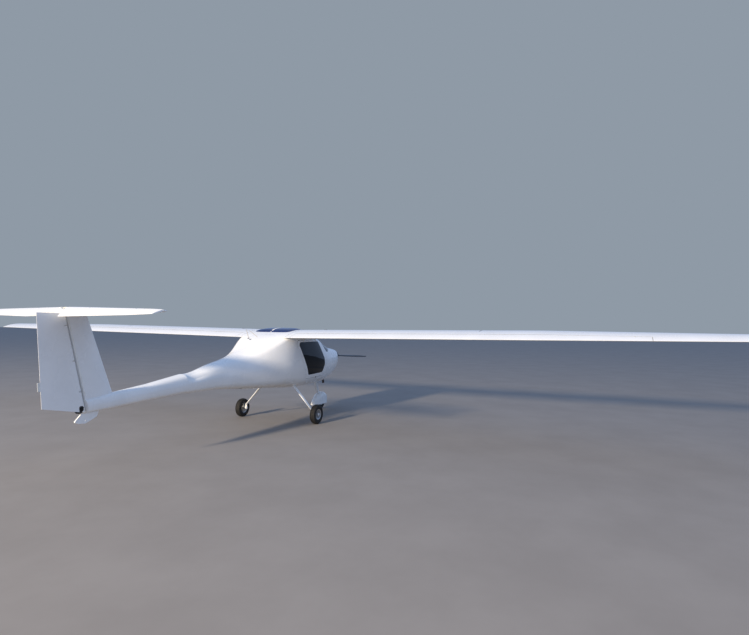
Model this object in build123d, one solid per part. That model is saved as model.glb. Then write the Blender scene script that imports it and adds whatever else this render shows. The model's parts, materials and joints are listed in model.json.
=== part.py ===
from build123d import *
import os
from math import atan2, cos, hypot, pi, radians, sin, sqrt, tan

# Two-seat high-wing microlight aeroplane with a T-tail, nosewheel gear and a two-blade propeller.
# Millimetres. +X is forward, +Y is the aircraft's left, +Z is up, and the ground is Z = 0.
# While the pieces are made, X = 0 is the main wheels' axle line. They are written out shifted
# by ORIGIN_SHIFT, so that the origin lies under the middle of the whole aircraft.

# Wing
SPAN = 14970
WING_ROOT_Y = 460
WING_BREAK_Y = 4600
ROOT_CHORD = 920
BREAK_CHORD = 880
TIP_CHORD = 520
WING_TE_X = -530
WING_TE_Z = 1512
DIHEDRAL = 0.75
INCIDENCE = 2.0
TIP_ROUND = 90
FLAP_HINGE_AHEAD = 200
FLAP_HINGE_ABOVE = 17
FLAP_HINGES_Y = [800, 2500, 4200, 5800]
FLAP_IN_Y = 566
FLAP_OUT_Y = 6000
FLAP_GAP = 6
# Radius of the flaperon's nose: y, radius
FLAP_NOSE = [(FLAP_IN_Y, 54), (WING_BREAK_Y, 53.5), (FLAP_OUT_Y, 32)]
FLAP_ARM_LENGTH = 64
FLAP_SLOT_HEIGHT = 100

# Body
WALL = 14
SEAT_FIT = 0.3
COWL_WALL = 8
FIREWALL_X = 1150
FIREWALL_THICKNESS = 6
COWL_FRONT_X = 1930
COWL_SPLIT_Z = 1040
REAR_BULKHEAD_X = -950
TAIL_END_X = -3926
TAIL_END_Z = 774

# Doors and windows
DOOR_GAP = 5
DOOR_CORNER = 60
WINDOW_CORNER = 50
DOOR_TOP_Z = 1460
DOOR_HINGES_X = (-60, 400)
KNUCKLE_RADIUS = 7
KNUCKLE_LENGTH = 30
KNUCKLE_STANDOFF = 9
DOOR_PIN_RADIUS = 3
LEAF_LENGTH = 26
LEAF_THICKNESS = 9
LEAF_SET_IN = 1.5
LEAF_FREE = 10

# Strap hinges of the control surfaces: an arm on the fixed side, with a pin across it
ARM_HALF_WIDTH = 9
ARM_THICKNESS = 6
PIN_RADIUS = 4
PIN_LENGTH = 30
SLOT_CLEARANCE = 3

# Tail
FIN_TOP_Z = 1845
RUDDER_TOP_Z = 1834
HINGE_TOP_X = -4188
RUDDER_TOP_X = -4462
RUDDER_BOTTOM_X = -4383
RUDDER_GAP = 6
TAILPLANE_Z = 1862
TAILPLANE_SEMISPAN = 1450
ELEVATOR_HINGE_X = -4150
ELEVATOR_DROOP = 15
ELEVATOR_GAP = 6

# Propeller
PROP_X = 2040
PROP_Z = 1085
PROP_RADIUS = 800
SPINNER_RADIUS = 120
SPINNER_LENGTH = 230

# Main gear
TRACK = 1600
MAIN_TYRE_RADIUS = 170
MAIN_TYRE_WIDTH = 100
MAIN_RIM_RADIUS = 92
MAIN_HUB_RADIUS = 34
LEG_ROOT_Y = 330
LEG_ROOT_Z = 640
AXLE_RADIUS = 12.5
# A tyre's tread against its width, and how far its shoulders drop against its half width
TREAD_SHARE = 0.80
SHOULDER_DROP = 0.20

# Nose gear
NOSE_WHEEL_X = 1505
NOSE_TYRE_RADIUS = 142
NOSE_TYRE_WIDTH = 90
NOSE_RIM_RADIUS = 62
NOSE_LEG_TOP_X = 1290
NOSE_LEG_TOP_Z = 640
NOSE_AXLE_RADIUS = 8
BEARING_CLEARANCE = 0.05

# Nose gear and cabin details
NOSE_LEG_LENGTH = 285
FORK_BOSS_REACH = 89
NOSE_STEM_RADIUS = 16
NOSE_BEAD_RADIUS = 52
FAIRING_WALL = 4
FAIRING_BOTTOM_Z = 112
FAIRING_ARCH = 0.95
# Mudguard stations: x, half width, top z
FAIRING_STATIONS = [
    (1180, 22, 165),
    (1240, 46, 208),
    (1330, 72, 268),
    (1430, 88, 326),
    (1520, 92, 352),
    (1610, 86, 338),
    (1690, 64, 292),
    (1740, 36, 238),
    (1756, 16, 206),
]
MAIN_BEAD_RADIUS = 78
FLOOR_Z = 660
SEAT_Z = 760
SEAT_REAR_X = -280

# Nose and engine details
INLET_Y = 205
INLET_Z = 1090
INLET_RADIUS = 48
EXHAUST_X = 1420
EXHAUST_Y = -120
EXHAUST_END_Z = 548
EXHAUST_RADIUS = 22
ENGINE_BOTTOM_Z = 860
ENGINE_REAR_X = 1230
ENGINE_FRONT_X = 1640
GEARBOX_FRONT_X = 1950
GEARBOX_RADIUS = 60
PROP_SHAFT_RADIUS = 20
HUB_RADIUS = 55
SPINNER_BACK_X = 1965
SPINNER_WALL = 3
BLADE_SLOT_LENGTH = 104
BLADE_SLOT_HEIGHT = 56

# Tail details
RUDDER_NOSE = 34
RUDDER_HINGES_Z = [950, 1300, 1700]
RUDDER_ARM_LENGTH = RUDDER_NOSE + RUDDER_GAP + 4
RUDDER_SLOT_WIDTH = 120
FIN_LEAD_TOP_X = -3884
FIN_SWEEP = 0.385
ELEVATOR_END_Y = 1446
# Radius of the elevator's nose: y, radius
ELEVATOR_NOSE = [(-ELEVATOR_END_Y, 8), (-1150, 21), (0, 40), (1150, 21), (ELEVATOR_END_Y, 8)]
ELEVATOR_HINGES_Y = [-1100, -420, 420, 1100]
ELEVATOR_ARM_LENGTH = 46
ELEVATOR_SLOT_HEIGHT = 90
ELEVATOR_TUBE_RADIUS = 11
ELEVATOR_SOCKET_DEPTH = 20
NOTCH_IN_Y = 44
NOTCH_OUT_Y = 316
SKID_THICKNESS = 16
SKID_HOLE_X = -3870
SKID_HOLE_Z = 606
SKID_HOLE_RADIUS = 8

ORIGIN_SHIFT = -(SPINNER_BACK_X + SPINNER_LENGTH + RUDDER_TOP_X) / 2

# How much flatter the body's sides and bottom are than an ellipse's, and how round its corners
SQUARENESS = 1.5
CORNER_SHARE = 0.55
# Body stations: x, half width, bottom z, top z, z of the widest point,
# and for the upper half how flat its sides are, how flat its top, and how round its corners
BODY_STATIONS = [
    (COWL_FRONT_X, 150, 950, 1205, 1085, 1.0, SQUARENESS, CORNER_SHARE),
    (1700, 305, 765, 1252, 1030, 1.0, SQUARENESS, CORNER_SHARE),
    (1350, 420, 635, 1300, 1000, 1.0, SQUARENESS, CORNER_SHARE),
    (FIREWALL_X, 470, 602, 1350, 1000, 1.0, SQUARENESS, CORNER_SHARE),
    (600, 560, 585, 1545, 1000, 2.4, 3.0, 0.36),
    (100, 580, 585, 1600, 1020, 5.0, 6.0, 0.16),
    (-450, 535, 630, 1550, 1050, 5.0, 8.0, 0.13),
    (-900, 400, 665, 1370, 1010, 1.6, 2.6, 0.38),
    (-1400, 258, 712, 1205, 955, 1.0, SQUARENESS, CORNER_SHARE),
    (-1900, 184, 744, 1104, 922, 1.0, SQUARENESS, CORNER_SHARE),
    (-2400, 139, 753, 1024, 886, 1.0, SQUARENESS, CORNER_SHARE),
]
# The tail boom, whose sections are joined by straight lines
BOOM_STATIONS = [
    BODY_STATIONS[-1],
    (-3000, 103, 731, 943, 838, 1.0, SQUARENESS, CORNER_SHARE),
    (-3600, 79, 702, 885, 792, 1.0, SQUARENESS, CORNER_SHARE),
    (-4100, 62, 682, 850, 766, 1.0, SQUARENESS, CORNER_SHARE),
]

nodes = {}


def side_points(half_width, height, side_radius, squareness, corner_share):
    # From the middle of the top nearly to the widest point, as three tangent arcs' ends and middles
    top_radius = squareness * half_width ** 2 / height
    corner_radius = corner_share * min(half_width, height)
    corner_radius = min(corner_radius, 0.9 * top_radius, 0.9 * side_radius)
    top_centre = (0, height - top_radius)
    side_centre = (half_width - side_radius, 0)
    reach_top = top_radius - corner_radius
    reach_side = side_radius - corner_radius
    across = side_centre[0] - top_centre[0]
    up = side_centre[1] - top_centre[1]
    distance = hypot(across, up)
    along = (reach_top ** 2 - reach_side ** 2 + distance ** 2) / (2 * distance)
    off = sqrt(max(reach_top ** 2 - along ** 2, 0))
    candidates = []
    for sign in (-1, 1):
        y = top_centre[0] + (along * across - sign * off * up) / distance
        z = top_centre[1] + (along * up + sign * off * across) / distance
        candidates.append((y, z))
    corner_centre = max(candidates, key=lambda c: c[0] + c[1])
    top_angle = atan2(corner_centre[1] - top_centre[1], corner_centre[0] - top_centre[0])
    side_angle = atan2(corner_centre[1] - side_centre[1], corner_centre[0] - side_centre[0])

    def on_circle(centre, radius, angle):
        return (centre[0] + radius * cos(angle), centre[1] + radius * sin(angle))

    return [
        on_circle(top_centre, top_radius, pi / 2),
        on_circle(top_centre, top_radius, (pi / 2 + top_angle) / 2),
        on_circle(top_centre, top_radius, top_angle),
        on_circle(corner_centre, corner_radius, (top_angle + side_angle) / 2),
        on_circle(side_centre, side_radius, side_angle),
        on_circle(side_centre, side_radius, side_angle / 2),
    ]


def half_section_arcs(station, inset, side=1):
    # One half of a body section, six arcs from the top centre down to the bottom centre
    x, half_width, bottom, top, widest, side_flatness, top_squareness, top_corner = station
    half_width = half_width - inset
    height_above = top - widest - inset
    height_below = widest - bottom - inset
    side_radius = SQUARENESS * height_above * height_below / half_width
    upper = side_points(half_width, height_above, side_flatness * side_radius, top_squareness, top_corner)
    lower = side_points(half_width, height_below, side_radius, SQUARENESS, CORNER_SHARE)
    ring = [Vector(x, side * y, widest + z) for y, z in upper]
    ring.append(Vector(x, side * half_width, widest))
    ring += [Vector(x, side * y, widest - z) for y, z in reversed(lower)]
    return [Edge.make_three_point_arc(*ring[i:i + 3]) for i in range(0, len(ring) - 1, 2)]


def whole_ring(station, inset):
    return Wire(half_section_arcs(station, inset, 1) + half_section_arcs(station, inset, -1))


def body_loft(inset):
    # The whole body as one solid, its outside moved in by a distance
    body = Solid.make_loft([whole_ring(station, inset) for station in BODY_STATIONS])
    boom = Solid.make_loft([whole_ring(station, inset) for station in BOOM_STATIONS], ruled=True)
    return body + boom


def wall_ring(station, wall):
    # The left half of the body's wall at one station
    outside = half_section_arcs(station, 0)
    inside = half_section_arcs(station, wall)
    top = Edge.make_line(outside[0] @ 0, inside[0] @ 0)
    bottom = Edge.make_line(outside[-1] @ 1, inside[-1] @ 1)
    return Wire(outside + [bottom] + inside + [top])


def body_skin(wall):
    # The left half of the body's wall, which meets the right half on the centre line
    body = Solid.make_loft([wall_ring(station, wall) for station in BODY_STATIONS])
    boom = Solid.make_loft([wall_ring(station, wall) for station in BOOM_STATIONS], ruled=True)
    return body + boom


def side_prism(points, radius, y_from, y_to):
    # A rounded outline in side view (x, z), extruded across the aircraft
    plane = Plane(origin=(0, y_from, 0), x_dir=(1, 0, 0), z_dir=(0, 1, 0))
    corners = [(x, -z) for x, z in points]
    outline = FilletPolyline(*corners, radius=radius, close=True)
    return extrude(plane * make_face(outline), y_to - y_from)


def between(x_from, x_to, y_from, y_to, z_from, z_to):
    size = (x_to - x_from, y_to - y_from, z_to - z_from)
    centre = ((x_from + x_to) / 2, (y_from + y_to) / 2, (z_from + z_to) / 2)
    return Pos(*centre) * Box(*size)


def grown(points, distance):
    # An outline offset outwards by a distance, its corners mitred
    count = len(points)
    area = sum(points[i][0] * points[(i + 1) % count][1] - points[(i + 1) % count][0] * points[i][1]
               for i in range(count))
    turn = 1 if area > 0 else -1
    result = []
    for i in range(count):
        before, here, after = points[i - 1], points[i], points[(i + 1) % count]
        d1 = Vector(here[0] - before[0], here[1] - before[1]).normalized()
        d2 = Vector(after[0] - here[0], after[1] - here[1]).normalized()
        n1 = Vector(d1.Y, -d1.X) * turn
        n2 = Vector(d2.Y, -d2.X) * turn
        mitre = (n1 + n2) * (distance / (1 + n1.dot(n2)))
        result.append((here[0] + mitre.X, here[1] + mitre.Y))
    return result


def mirrored(solid):
    return mirror(solid, about=Plane.XZ)


def both_sides(name, left_solid):
    nodes[name + "_left"] = left_solid
    nodes[name + "_right"] = mirrored(left_solid)


# Aerofoils

def aerofoil(chord, plane, top=0.122, bottom=0.042):
    # Lines and arcs: nose, upper front, upper rear, trailing edge, lower rear, lower front
    crest = (0.33 * chord, top * chord)
    keel = (0.36 * chord, -bottom * chord)
    nose_top = (0.014 * chord, 0.30 * top * chord)
    nose_bottom = (0.014 * chord, -0.42 * bottom * chord)
    tail_top = (chord, 1.5)
    tail_bottom = (chord, -1.5)
    lines = [
        TangentArc(crest, nose_top, tangent=(-1, 0)),
        ThreePointArc(nose_top, (0, 0), nose_bottom),
        TangentArc(keel, nose_bottom, tangent=(-1, 0)),
        TangentArc(keel, tail_bottom, tangent=(1, 0)),
        Line(tail_bottom, tail_top),
        TangentArc(crest, tail_top, tangent=(1, 0)),
    ]
    return plane * make_face(lines)


def symmetric_aerofoil(chord, thickness, plane):
    half = thickness / 2
    crest = (0.32 * chord, half)
    nose = (0.012 * chord, 0.34 * half)
    tail = (chord, 1.2)
    lines = [
        TangentArc(crest, nose, tangent=(-1, 0)),
        ThreePointArc(nose, (0, 0), (nose[0], -nose[1])),
        TangentArc((crest[0], -half), (nose[0], -nose[1]), tangent=(-1, 0)),
        TangentArc((crest[0], -half), (chord, -tail[1]), tangent=(1, 0)),
        Line((chord, -tail[1]), tail),
        TangentArc(crest, tail, tangent=(1, 0)),
    ]
    return plane * make_face(lines)


def wing_plane(y, chord, trailing_x):
    # The section's own x runs aft from the leading edge and its y runs up
    rise = (abs(y) - WING_ROOT_Y) * tan(radians(DIHEDRAL))
    lift = chord * sin(radians(INCIDENCE))
    nose = (trailing_x + chord * cos(radians(INCIDENCE)), y, WING_TE_Z + rise + lift)
    aft = (-cos(radians(INCIDENCE)), 0, -sin(radians(INCIDENCE)))
    return Plane(origin=nose, x_dir=aft, z_dir=(0, 1, 0))


def wing_trailing_x(chord):
    # The outer panel tapers about its quarter chord
    if chord >= BREAK_CHORD:
        return WING_TE_X
    return WING_TE_X + 0.45 * (BREAK_CHORD - chord)


def wing_sections():
    # y, chord
    table = [
        (WING_ROOT_Y, ROOT_CHORD),
        (WING_BREAK_Y, BREAK_CHORD),
        (SPAN / 2 - TIP_ROUND, TIP_CHORD + 40),
        (SPAN / 2 - 20, TIP_CHORD - 60),
        (SPAN / 2, TIP_CHORD - 190),
    ]
    return table


def wing_panel():
    sections = []
    for y, chord in wing_sections():
        face = aerofoil(chord, wing_plane(y, chord, wing_trailing_x(chord)))
        sections.append(face)
    return loft(sections, ruled=True)


def flap_hinge_point(y):
    rise = (y - WING_ROOT_Y) * tan(radians(DIHEDRAL))
    return Vector(WING_TE_X + FLAP_HINGE_AHEAD, y, WING_TE_Z + FLAP_HINGE_ABOVE + rise)


def bar(start, end, radius_start, radius_end=None):
    # A round bar or cone between two points
    direction = end - start
    base = Plane(origin=start, z_dir=direction)
    if radius_end is None or radius_end == radius_start:
        return Solid.make_cylinder(radius_start, direction.length, base)
    return Solid.make_cone(radius_start, radius_end, direction.length, base)


def round_nose(hinge_point, stations, gap):
    # A moving surface's nose, round about its hinge, or with a gap the cove that it turns in
    nose = None
    for (y_from, radius_from), (y_to, radius_to) in zip(stations, stations[1:]):
        start_y = y_from - gap if y_from == stations[0][0] else y_from
        end_y = y_to + gap if y_to == stations[-1][0] else y_to
        piece = bar(hinge_point(start_y), hinge_point(end_y), radius_from + gap, radius_to + gap)
        nose = piece if nose is None else nose + piece
    return nose


def aft_of_hinge(y_from, y_to):
    # Everything behind the flaperon's hinge line, between two stations
    ends = []
    for y in (y_from, y_to):
        plane = Plane(origin=flap_hinge_point(y), x_dir=(-1, 0, 0), z_dir=(0, 1, 0))
        ends.append(plane * Pos(250, 0) * Rectangle(500, 300))
    return loft(ends, ruled=True)


def strap_hinge(point, along, ahead, arm_length, swing_room):
    # A fixed arm with a pin across it, and the slot and bore that it needs in the moving piece
    frame = Plane(origin=point, x_dir=ahead, z_dir=along)
    arm = Pos(arm_length / 2, 0, 0) * Box(arm_length, 2 * ARM_HALF_WIDTH, ARM_THICKNESS)
    arm = arm + Cylinder(ARM_HALF_WIDTH, ARM_THICKNESS) + Cylinder(PIN_RADIUS, PIN_LENGTH)
    slot_length = arm_length + ARM_HALF_WIDTH + SLOT_CLEARANCE
    slot = Box(slot_length, swing_room, ARM_THICKNESS + 2 * SLOT_CLEARANCE)
    slot = Pos(arm_length - slot_length / 2, 0, 0) * slot
    slot = slot + Cylinder(PIN_RADIUS + BEARING_CLEARANCE, PIN_LENGTH + 2)
    return frame * arm, frame * slot


full_wing = wing_panel()
flap_axis = (flap_hinge_point(FLAP_OUT_Y) - flap_hinge_point(FLAP_IN_Y)).normalized()
outer = body_loft(-SEAT_FIT)
# The flaperon's nose is round about its hinge, as high as the wing is there, and turns in the wing's
# cove. What lies behind the hinge line is the wing's own section.
flap_nose = round_nose(flap_hinge_point, FLAP_NOSE, 0)
flap_cove = round_nose(flap_hinge_point, FLAP_NOSE, FLAP_GAP)
flaperon = full_wing & (aft_of_hinge(FLAP_IN_Y, FLAP_OUT_Y) + flap_nose)
wing = full_wing - (aft_of_hinge(FLAP_IN_Y - FLAP_GAP, FLAP_OUT_Y + FLAP_GAP) + flap_cove)
wing = wing - outer
for hinge_y in FLAP_HINGES_Y:
    arm, slot = strap_hinge(flap_hinge_point(hinge_y), flap_axis, (1, 0, 0), FLAP_ARM_LENGTH, FLAP_SLOT_HEIGHT)
    wing = wing + arm
    flaperon = flaperon - slot
both_sides("wing", wing)
both_sides("flaperon", flaperon)

# Body shell
inner = body_loft(WALL + SEAT_FIT)
skin = body_skin(WALL)
centre_section = extrude(
    aerofoil(ROOT_CHORD, wing_plane(-WING_ROOT_Y, ROOT_CHORD, WING_TE_X)), 2 * WING_ROOT_Y)

# Outlines in side view (x, z)
DOOR = [(-300, DOOR_TOP_Z), (75, 770), (690, 785), (800, 1000), (790, 1130), (555, DOOR_TOP_Z)]
DOOR_WINDOW = [(-235, 1432), (118, 835), (640, 850), (735, 1000), (725, 1110), (500, 1432)]
WINDSCREEN = [(395, 1720), (520, 1570), (640, 1455), (870, 1225), (960, 1215), (1160, 1290), (1160, 1720)]
# The roof pane in plan (x, y)
SKYLIGHT = [(250, -300), (250, 300), (-250, 300), (-250, -300)]
SKYLIGHT_THICKNESS = 8

door_cutter = side_prism(DOOR, DOOR_CORNER, 150, 700)
window_cutter = side_prism(DOOR_WINDOW, WINDOW_CORNER, 150, 700)
door_panel = skin & door_cutter
door_pane = door_panel & window_cutter
door_frame = door_panel - window_cutter
windscreen_prism = side_prism(WINDSCREEN, 25, -700, 700)
roof_outline = FilletPolyline(*SKYLIGHT, radius=70, close=True)
skylight_prism = Pos(0, 0, 1480) * extrude(make_face(roof_outline), 300)
under_roof = Pos(0, 0, -SKYLIGHT_THICKNESS) * centre_section
skylight = (centre_section - under_roof) & skylight_prism


def behind_rudder_hinge(forward, z_low=400, z_high=2100):
    # The region behind the rudder's hinge line, moved forward by a distance
    slope = (HINGE_TOP_X - TAIL_END_X) / (RUDDER_TOP_Z - TAIL_END_Z)
    low_x = TAIL_END_X + slope * (z_low - TAIL_END_Z) + forward
    high_x = TAIL_END_X + slope * (z_high - TAIL_END_Z) + forward
    points = [(low_x, z_low), (low_x - 1200, z_low), (high_x - 1200, z_high), (high_x, z_high)]
    plane = Plane(origin=(0, -400, 0), x_dir=(1, 0, 0), z_dir=(0, 1, 0))
    outline = Polyline(*[(x, -z) for x, z in points], close=True)
    return extrude(plane * make_face(outline), 800)


door_opening = side_prism(grown(DOOR, DOOR_GAP), DOOR_CORNER, 150, 700)
half_shell = skin & between(-4200, FIREWALL_X, -10, 800, 300, 1800)
half_shell = half_shell - door_opening - windscreen_prism
half_shell = half_shell - behind_rudder_hinge(RUDDER_NOSE + RUDDER_GAP)
half_shell = half_shell - skylight_prism
# Door hinges: knuckles outside the skin above the door, on one straight axis
hinge_frames = []
for x in DOOR_HINGES_X:
    across = Axis((x, 900, DOOR_TOP_Z + DOOR_GAP / 2), (0, -1, 0))
    hits = outer.find_intersection_points(across)
    surface, outward = max(hits, key=lambda hit: hit[0].Y)
    hinge_frames.append((surface + outward * KNUCKLE_STANDOFF, outward))
door_axis_start = hinge_frames[0][0]
door_axis_end = hinge_frames[1][0]
door_axis = (door_axis_end - door_axis_start).normalized()
print("door hinge axis from", door_axis_start, "to", door_axis_end)


def hinge_leaf(up, length):
    # A leaf beside the skin, above or below the pin, with the root that it stands on
    middle = up * LEAF_LENGTH / 2
    root_depth = KNUCKLE_STANDOFF + WALL / 2
    leaf = Pos(-LEAF_SET_IN, middle, 0) * Box(LEAF_THICKNESS, LEAF_LENGTH, length)
    root = Pos(-root_depth / 2, middle + up * LEAF_FREE / 2, 0) * Box(root_depth, LEAF_LENGTH - LEAF_FREE, length)
    return leaf + root


for point, outward in hinge_frames:
    # Local x runs out of the skin, local y runs up it, and local z along the pin
    frame = Plane(origin=point, x_dir=outward, z_dir=door_axis)
    up = 1 if frame.y_dir.Z > 0 else -1
    door_part = hinge_leaf(-up, KNUCKLE_LENGTH) + Cylinder(KNUCKLE_RADIUS, KNUCKLE_LENGTH)
    door_part = door_part - Cylinder(DOOR_PIN_RADIUS + BEARING_CLEARANCE, KNUCKLE_LENGTH + 2)
    shell_part = Cylinder(DOOR_PIN_RADIUS, 2 * KNUCKLE_LENGTH)
    for end in (-1, 1):
        offset = end * (KNUCKLE_LENGTH * 0.75 + 1)
        ear = hinge_leaf(up, KNUCKLE_LENGTH / 2) + Cylinder(KNUCKLE_RADIUS, KNUCKLE_LENGTH / 2)
        shell_part = shell_part + Pos(0, 0, offset) * ear
    door_frame = door_frame + frame * door_part
    half_shell = half_shell + frame * shell_part
half_windscreen = skin & windscreen_prism & between(0, FIREWALL_X, -10, 800, 900, 1800)
shell = half_shell + mirrored(half_shell)
nodes["windscreen"] = half_windscreen + mirrored(half_windscreen)
nodes["wing_centre"] = centre_section - outer - skylight_prism
nodes["skylight"] = skylight
both_sides("door_frame", door_frame)
both_sides("door_window", door_pane)

# Cowling, firewall and engine
half_cowl = body_skin(COWL_WALL) & between(FIREWALL_X, COWL_FRONT_X, -10, 800, 300, 1800)
cowl_skin = half_cowl + mirrored(half_cowl)
for side in (-1, 1):
    inlet = bar(Vector(1740, side * INLET_Y, INLET_Z), Vector(2000, side * INLET_Y, INLET_Z), INLET_RADIUS)
    cowl_skin = cowl_skin - inlet
exhaust_path = [Vector(EXHAUST_X, EXHAUST_Y, ENGINE_BOTTOM_Z), Vector(EXHAUST_X, EXHAUST_Y, EXHAUST_END_Z)]
exhaust_hole = bar(*exhaust_path, EXHAUST_RADIUS + 4)
nodes["cowling_upper"] = cowl_skin & between(1000, 2100, -800, 800, COWL_SPLIT_Z, 1800)
nodes["cowling_lower"] = (cowl_skin & between(1000, 2100, -800, 800, 300, COWL_SPLIT_Z)) - exhaust_hole
firewall_slab = between(FIREWALL_X - FIREWALL_THICKNESS, FIREWALL_X, -800, 800, 300, 1800)
nodes["firewall"] = inner & firewall_slab
nodes["exhaust"] = bar(*exhaust_path, EXHAUST_RADIUS) - bar(
    Vector(EXHAUST_X, EXHAUST_Y, EXHAUST_END_Z + 60), Vector(EXHAUST_X, EXHAUST_Y, EXHAUST_END_Z - 5),
    EXHAUST_RADIUS - 2)
engine = between(ENGINE_REAR_X, ENGINE_FRONT_X, -245, 245, ENGINE_BOTTOM_Z, 1130)
for y in (-150, 150):
    for z in (ENGINE_BOTTOM_Z + 30, 1100):
        engine = engine + bar(Vector(FIREWALL_X, y, z), Vector(ENGINE_REAR_X + 5, y, z), 16)
shaft_axis = [Vector(ENGINE_FRONT_X - 5, 0, PROP_Z), Vector(GEARBOX_FRONT_X, 0, PROP_Z)]
engine = engine + bar(*shaft_axis, GEARBOX_RADIUS)
engine = engine - bar(Vector(GEARBOX_FRONT_X - 50, 0, PROP_Z), Vector(GEARBOX_FRONT_X + 5, 0, PROP_Z),
                      PROP_SHAFT_RADIUS + BEARING_CLEARANCE)
nodes["engine_block"] = engine

# Propeller: hub, shaft and two blades, with the spinner round them
# Blade stations: radius, chord, thickness, pitch angle
BLADE_STATIONS = [
    (45, 66, 44, 80),
    (130, 92, 26, 78),
    (330, 118, 16, 74),
    (600, 92, 9, 70),
    (PROP_RADIUS - 12, 50, 5, 68),
    (PROP_RADIUS, 26, 3, 68),
]


def blade():
    sections = []
    for radius, chord, thickness, pitch in BLADE_STATIONS:
        plane = Plane(origin=(PROP_X, radius, PROP_Z), x_dir=(0, 0, 1), z_dir=(0, 1, 0))
        lens = [
            ThreePointArc((-chord / 2, 0), (-chord * 0.1, thickness * 0.62), (chord / 2, 0)),
            ThreePointArc((chord / 2, 0), (-chord * 0.1, -thickness * 0.38), (-chord / 2, 0)),
        ]
        sections.append(plane * Rot(0, 0, -pitch) * make_face(lens))
    return loft(sections, ruled=True)


blade_left = blade()
blade_right = Pos(PROP_X, 0, PROP_Z) * Rot(180, 0, 0) * Pos(-PROP_X, 0, -PROP_Z) * blade_left
hub = bar(Vector(SPINNER_BACK_X + SPINNER_WALL, 0, PROP_Z), Vector(PROP_X + 40, 0, PROP_Z), HUB_RADIUS)
shaft = bar(Vector(GEARBOX_FRONT_X - 45, 0, PROP_Z), Vector(SPINNER_BACK_X + 20, 0, PROP_Z), PROP_SHAFT_RADIUS)
nodes["propeller"] = hub + blade_left + blade_right + shaft


def spinner_form(inset):
    # A quarter-oval dome on a short rim, turned about the propeller's axis
    back = SPINNER_BACK_X + inset
    length = SPINNER_LENGTH - 2 * inset
    radius = SPINNER_RADIUS - inset
    outline = [
        Line((back, 0), (back, radius)),
        Line((back, radius), (back + 30, radius)),
        EllipticalCenterArc((back + 30, 0), length - 30, radius, 0, arc_size=90),
        Line((back + length, 0), (back, 0)),
    ]
    plane = Plane(origin=(0, 0, PROP_Z), x_dir=(1, 0, 0), z_dir=(0, -1, 0))
    face = plane * make_face(outline)
    return revolve(face, axis=Axis((0, 0, PROP_Z), (1, 0, 0)))


blade_slots = between(PROP_X - BLADE_SLOT_LENGTH / 2, PROP_X + BLADE_SLOT_LENGTH / 2, -200, 200,
                      PROP_Z - BLADE_SLOT_HEIGHT / 2, PROP_Z + BLADE_SLOT_HEIGHT / 2)
spinner = spinner_form(0) - spinner_form(SPINNER_WALL) - blade_slots
spinner = spinner - bar(Vector(SPINNER_BACK_X - 5, 0, PROP_Z), Vector(SPINNER_BACK_X + 10, 0, PROP_Z),
                        PROP_SHAFT_RADIUS)
nodes["spinner"] = spinner

# Fin and rudder, cut from one vertical surface
# Fin and rudder sections: z, leading x, trailing x, thickness
FIN_SECTIONS = [
    (620, FIN_LEAD_TOP_X + FIN_SWEEP * (RUDDER_TOP_Z - 620), RUDDER_BOTTOM_X + 12, 94),
    (FIN_TOP_Z, FIN_LEAD_TOP_X - FIN_SWEEP * (FIN_TOP_Z - RUDDER_TOP_Z), RUDDER_TOP_X - 2, 62),
]
fin_faces = []
for z, lead_x, trail_x, thickness in FIN_SECTIONS:
    fin_plane = Plane(origin=(lead_x, 0, z), x_dir=(-1, 0, 0), z_dir=(0, 0, 1))
    fin_faces.append(symmetric_aerofoil(lead_x - trail_x, thickness, fin_plane))
vertical_tail = loft(fin_faces, ruled=True)
hinge_slope = (HINGE_TOP_X - TAIL_END_X) / (RUDDER_TOP_Z - TAIL_END_Z)


def rudder_hinge_point(z):
    return Vector(TAIL_END_X + hinge_slope * (z - TAIL_END_Z), 0, z)


rudder_axis = (rudder_hinge_point(RUDDER_TOP_Z) - rudder_hinge_point(TAIL_END_Z)).normalized()
rudder_ahead = Vector(0, 1, 0).cross(rudder_axis)
below_rudder_points = [(-3600, 640), (-3600, 716), (-3950, 716), (-4600, 850), (-4600, 640)]
below_plane = Plane(origin=(0, -400, 0), x_dir=(1, 0, 0), z_dir=(0, 1, 0))
below_outline = Polyline(*[(x, -z) for x, z in below_rudder_points], close=True)
below_rudder = extrude(below_plane * make_face(below_outline), 800)
below_rudder = below_rudder + between(-4700, -3500, -400, 400, 500, 640.5)
rudder_nose_bar = bar(rudder_hinge_point(600), rudder_hinge_point(FIN_TOP_Z + 20), RUDDER_NOSE)
rudder = vertical_tail & (behind_rudder_hinge(0) + rudder_nose_bar)
rudder = rudder - below_rudder - between(-4700, -3500, -400, 400, RUDDER_TOP_Z, 2000)
fin = vertical_tail - behind_rudder_hinge(RUDDER_NOSE + RUDDER_GAP) - outer
fin = fin - between(-4700, -3300, -400, 400, 500, 780)
for hinge_z in RUDDER_HINGES_Z:
    arm, slot = strap_hinge(rudder_hinge_point(hinge_z), rudder_axis, rudder_ahead, RUDDER_ARM_LENGTH,
                            RUDDER_SLOT_WIDTH)
    fin = fin + arm
    rudder = rudder - slot
nodes["fuselage_shell"] = shell
nodes["tail_rib"] = (inner & behind_rudder_hinge(RUDDER_NOSE + RUDDER_GAP + 10)) - behind_rudder_hinge(
    RUDDER_NOSE + RUDDER_GAP)
nodes["fin"] = fin
nodes["rudder"] = rudder

# Tailplane and elevator
# Tailplane stations: y, leading x, trailing x, thickness
TAILPLANE_STATIONS = [
    (0, -3700, -4430, 96),
    (1150, -3890, -4335, 46),
    (1300, -3960, -4310, 38),
    (1400, -4050, -4290, 26),
    (TAILPLANE_SEMISPAN, -4110, -4280, 14),
]


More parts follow.
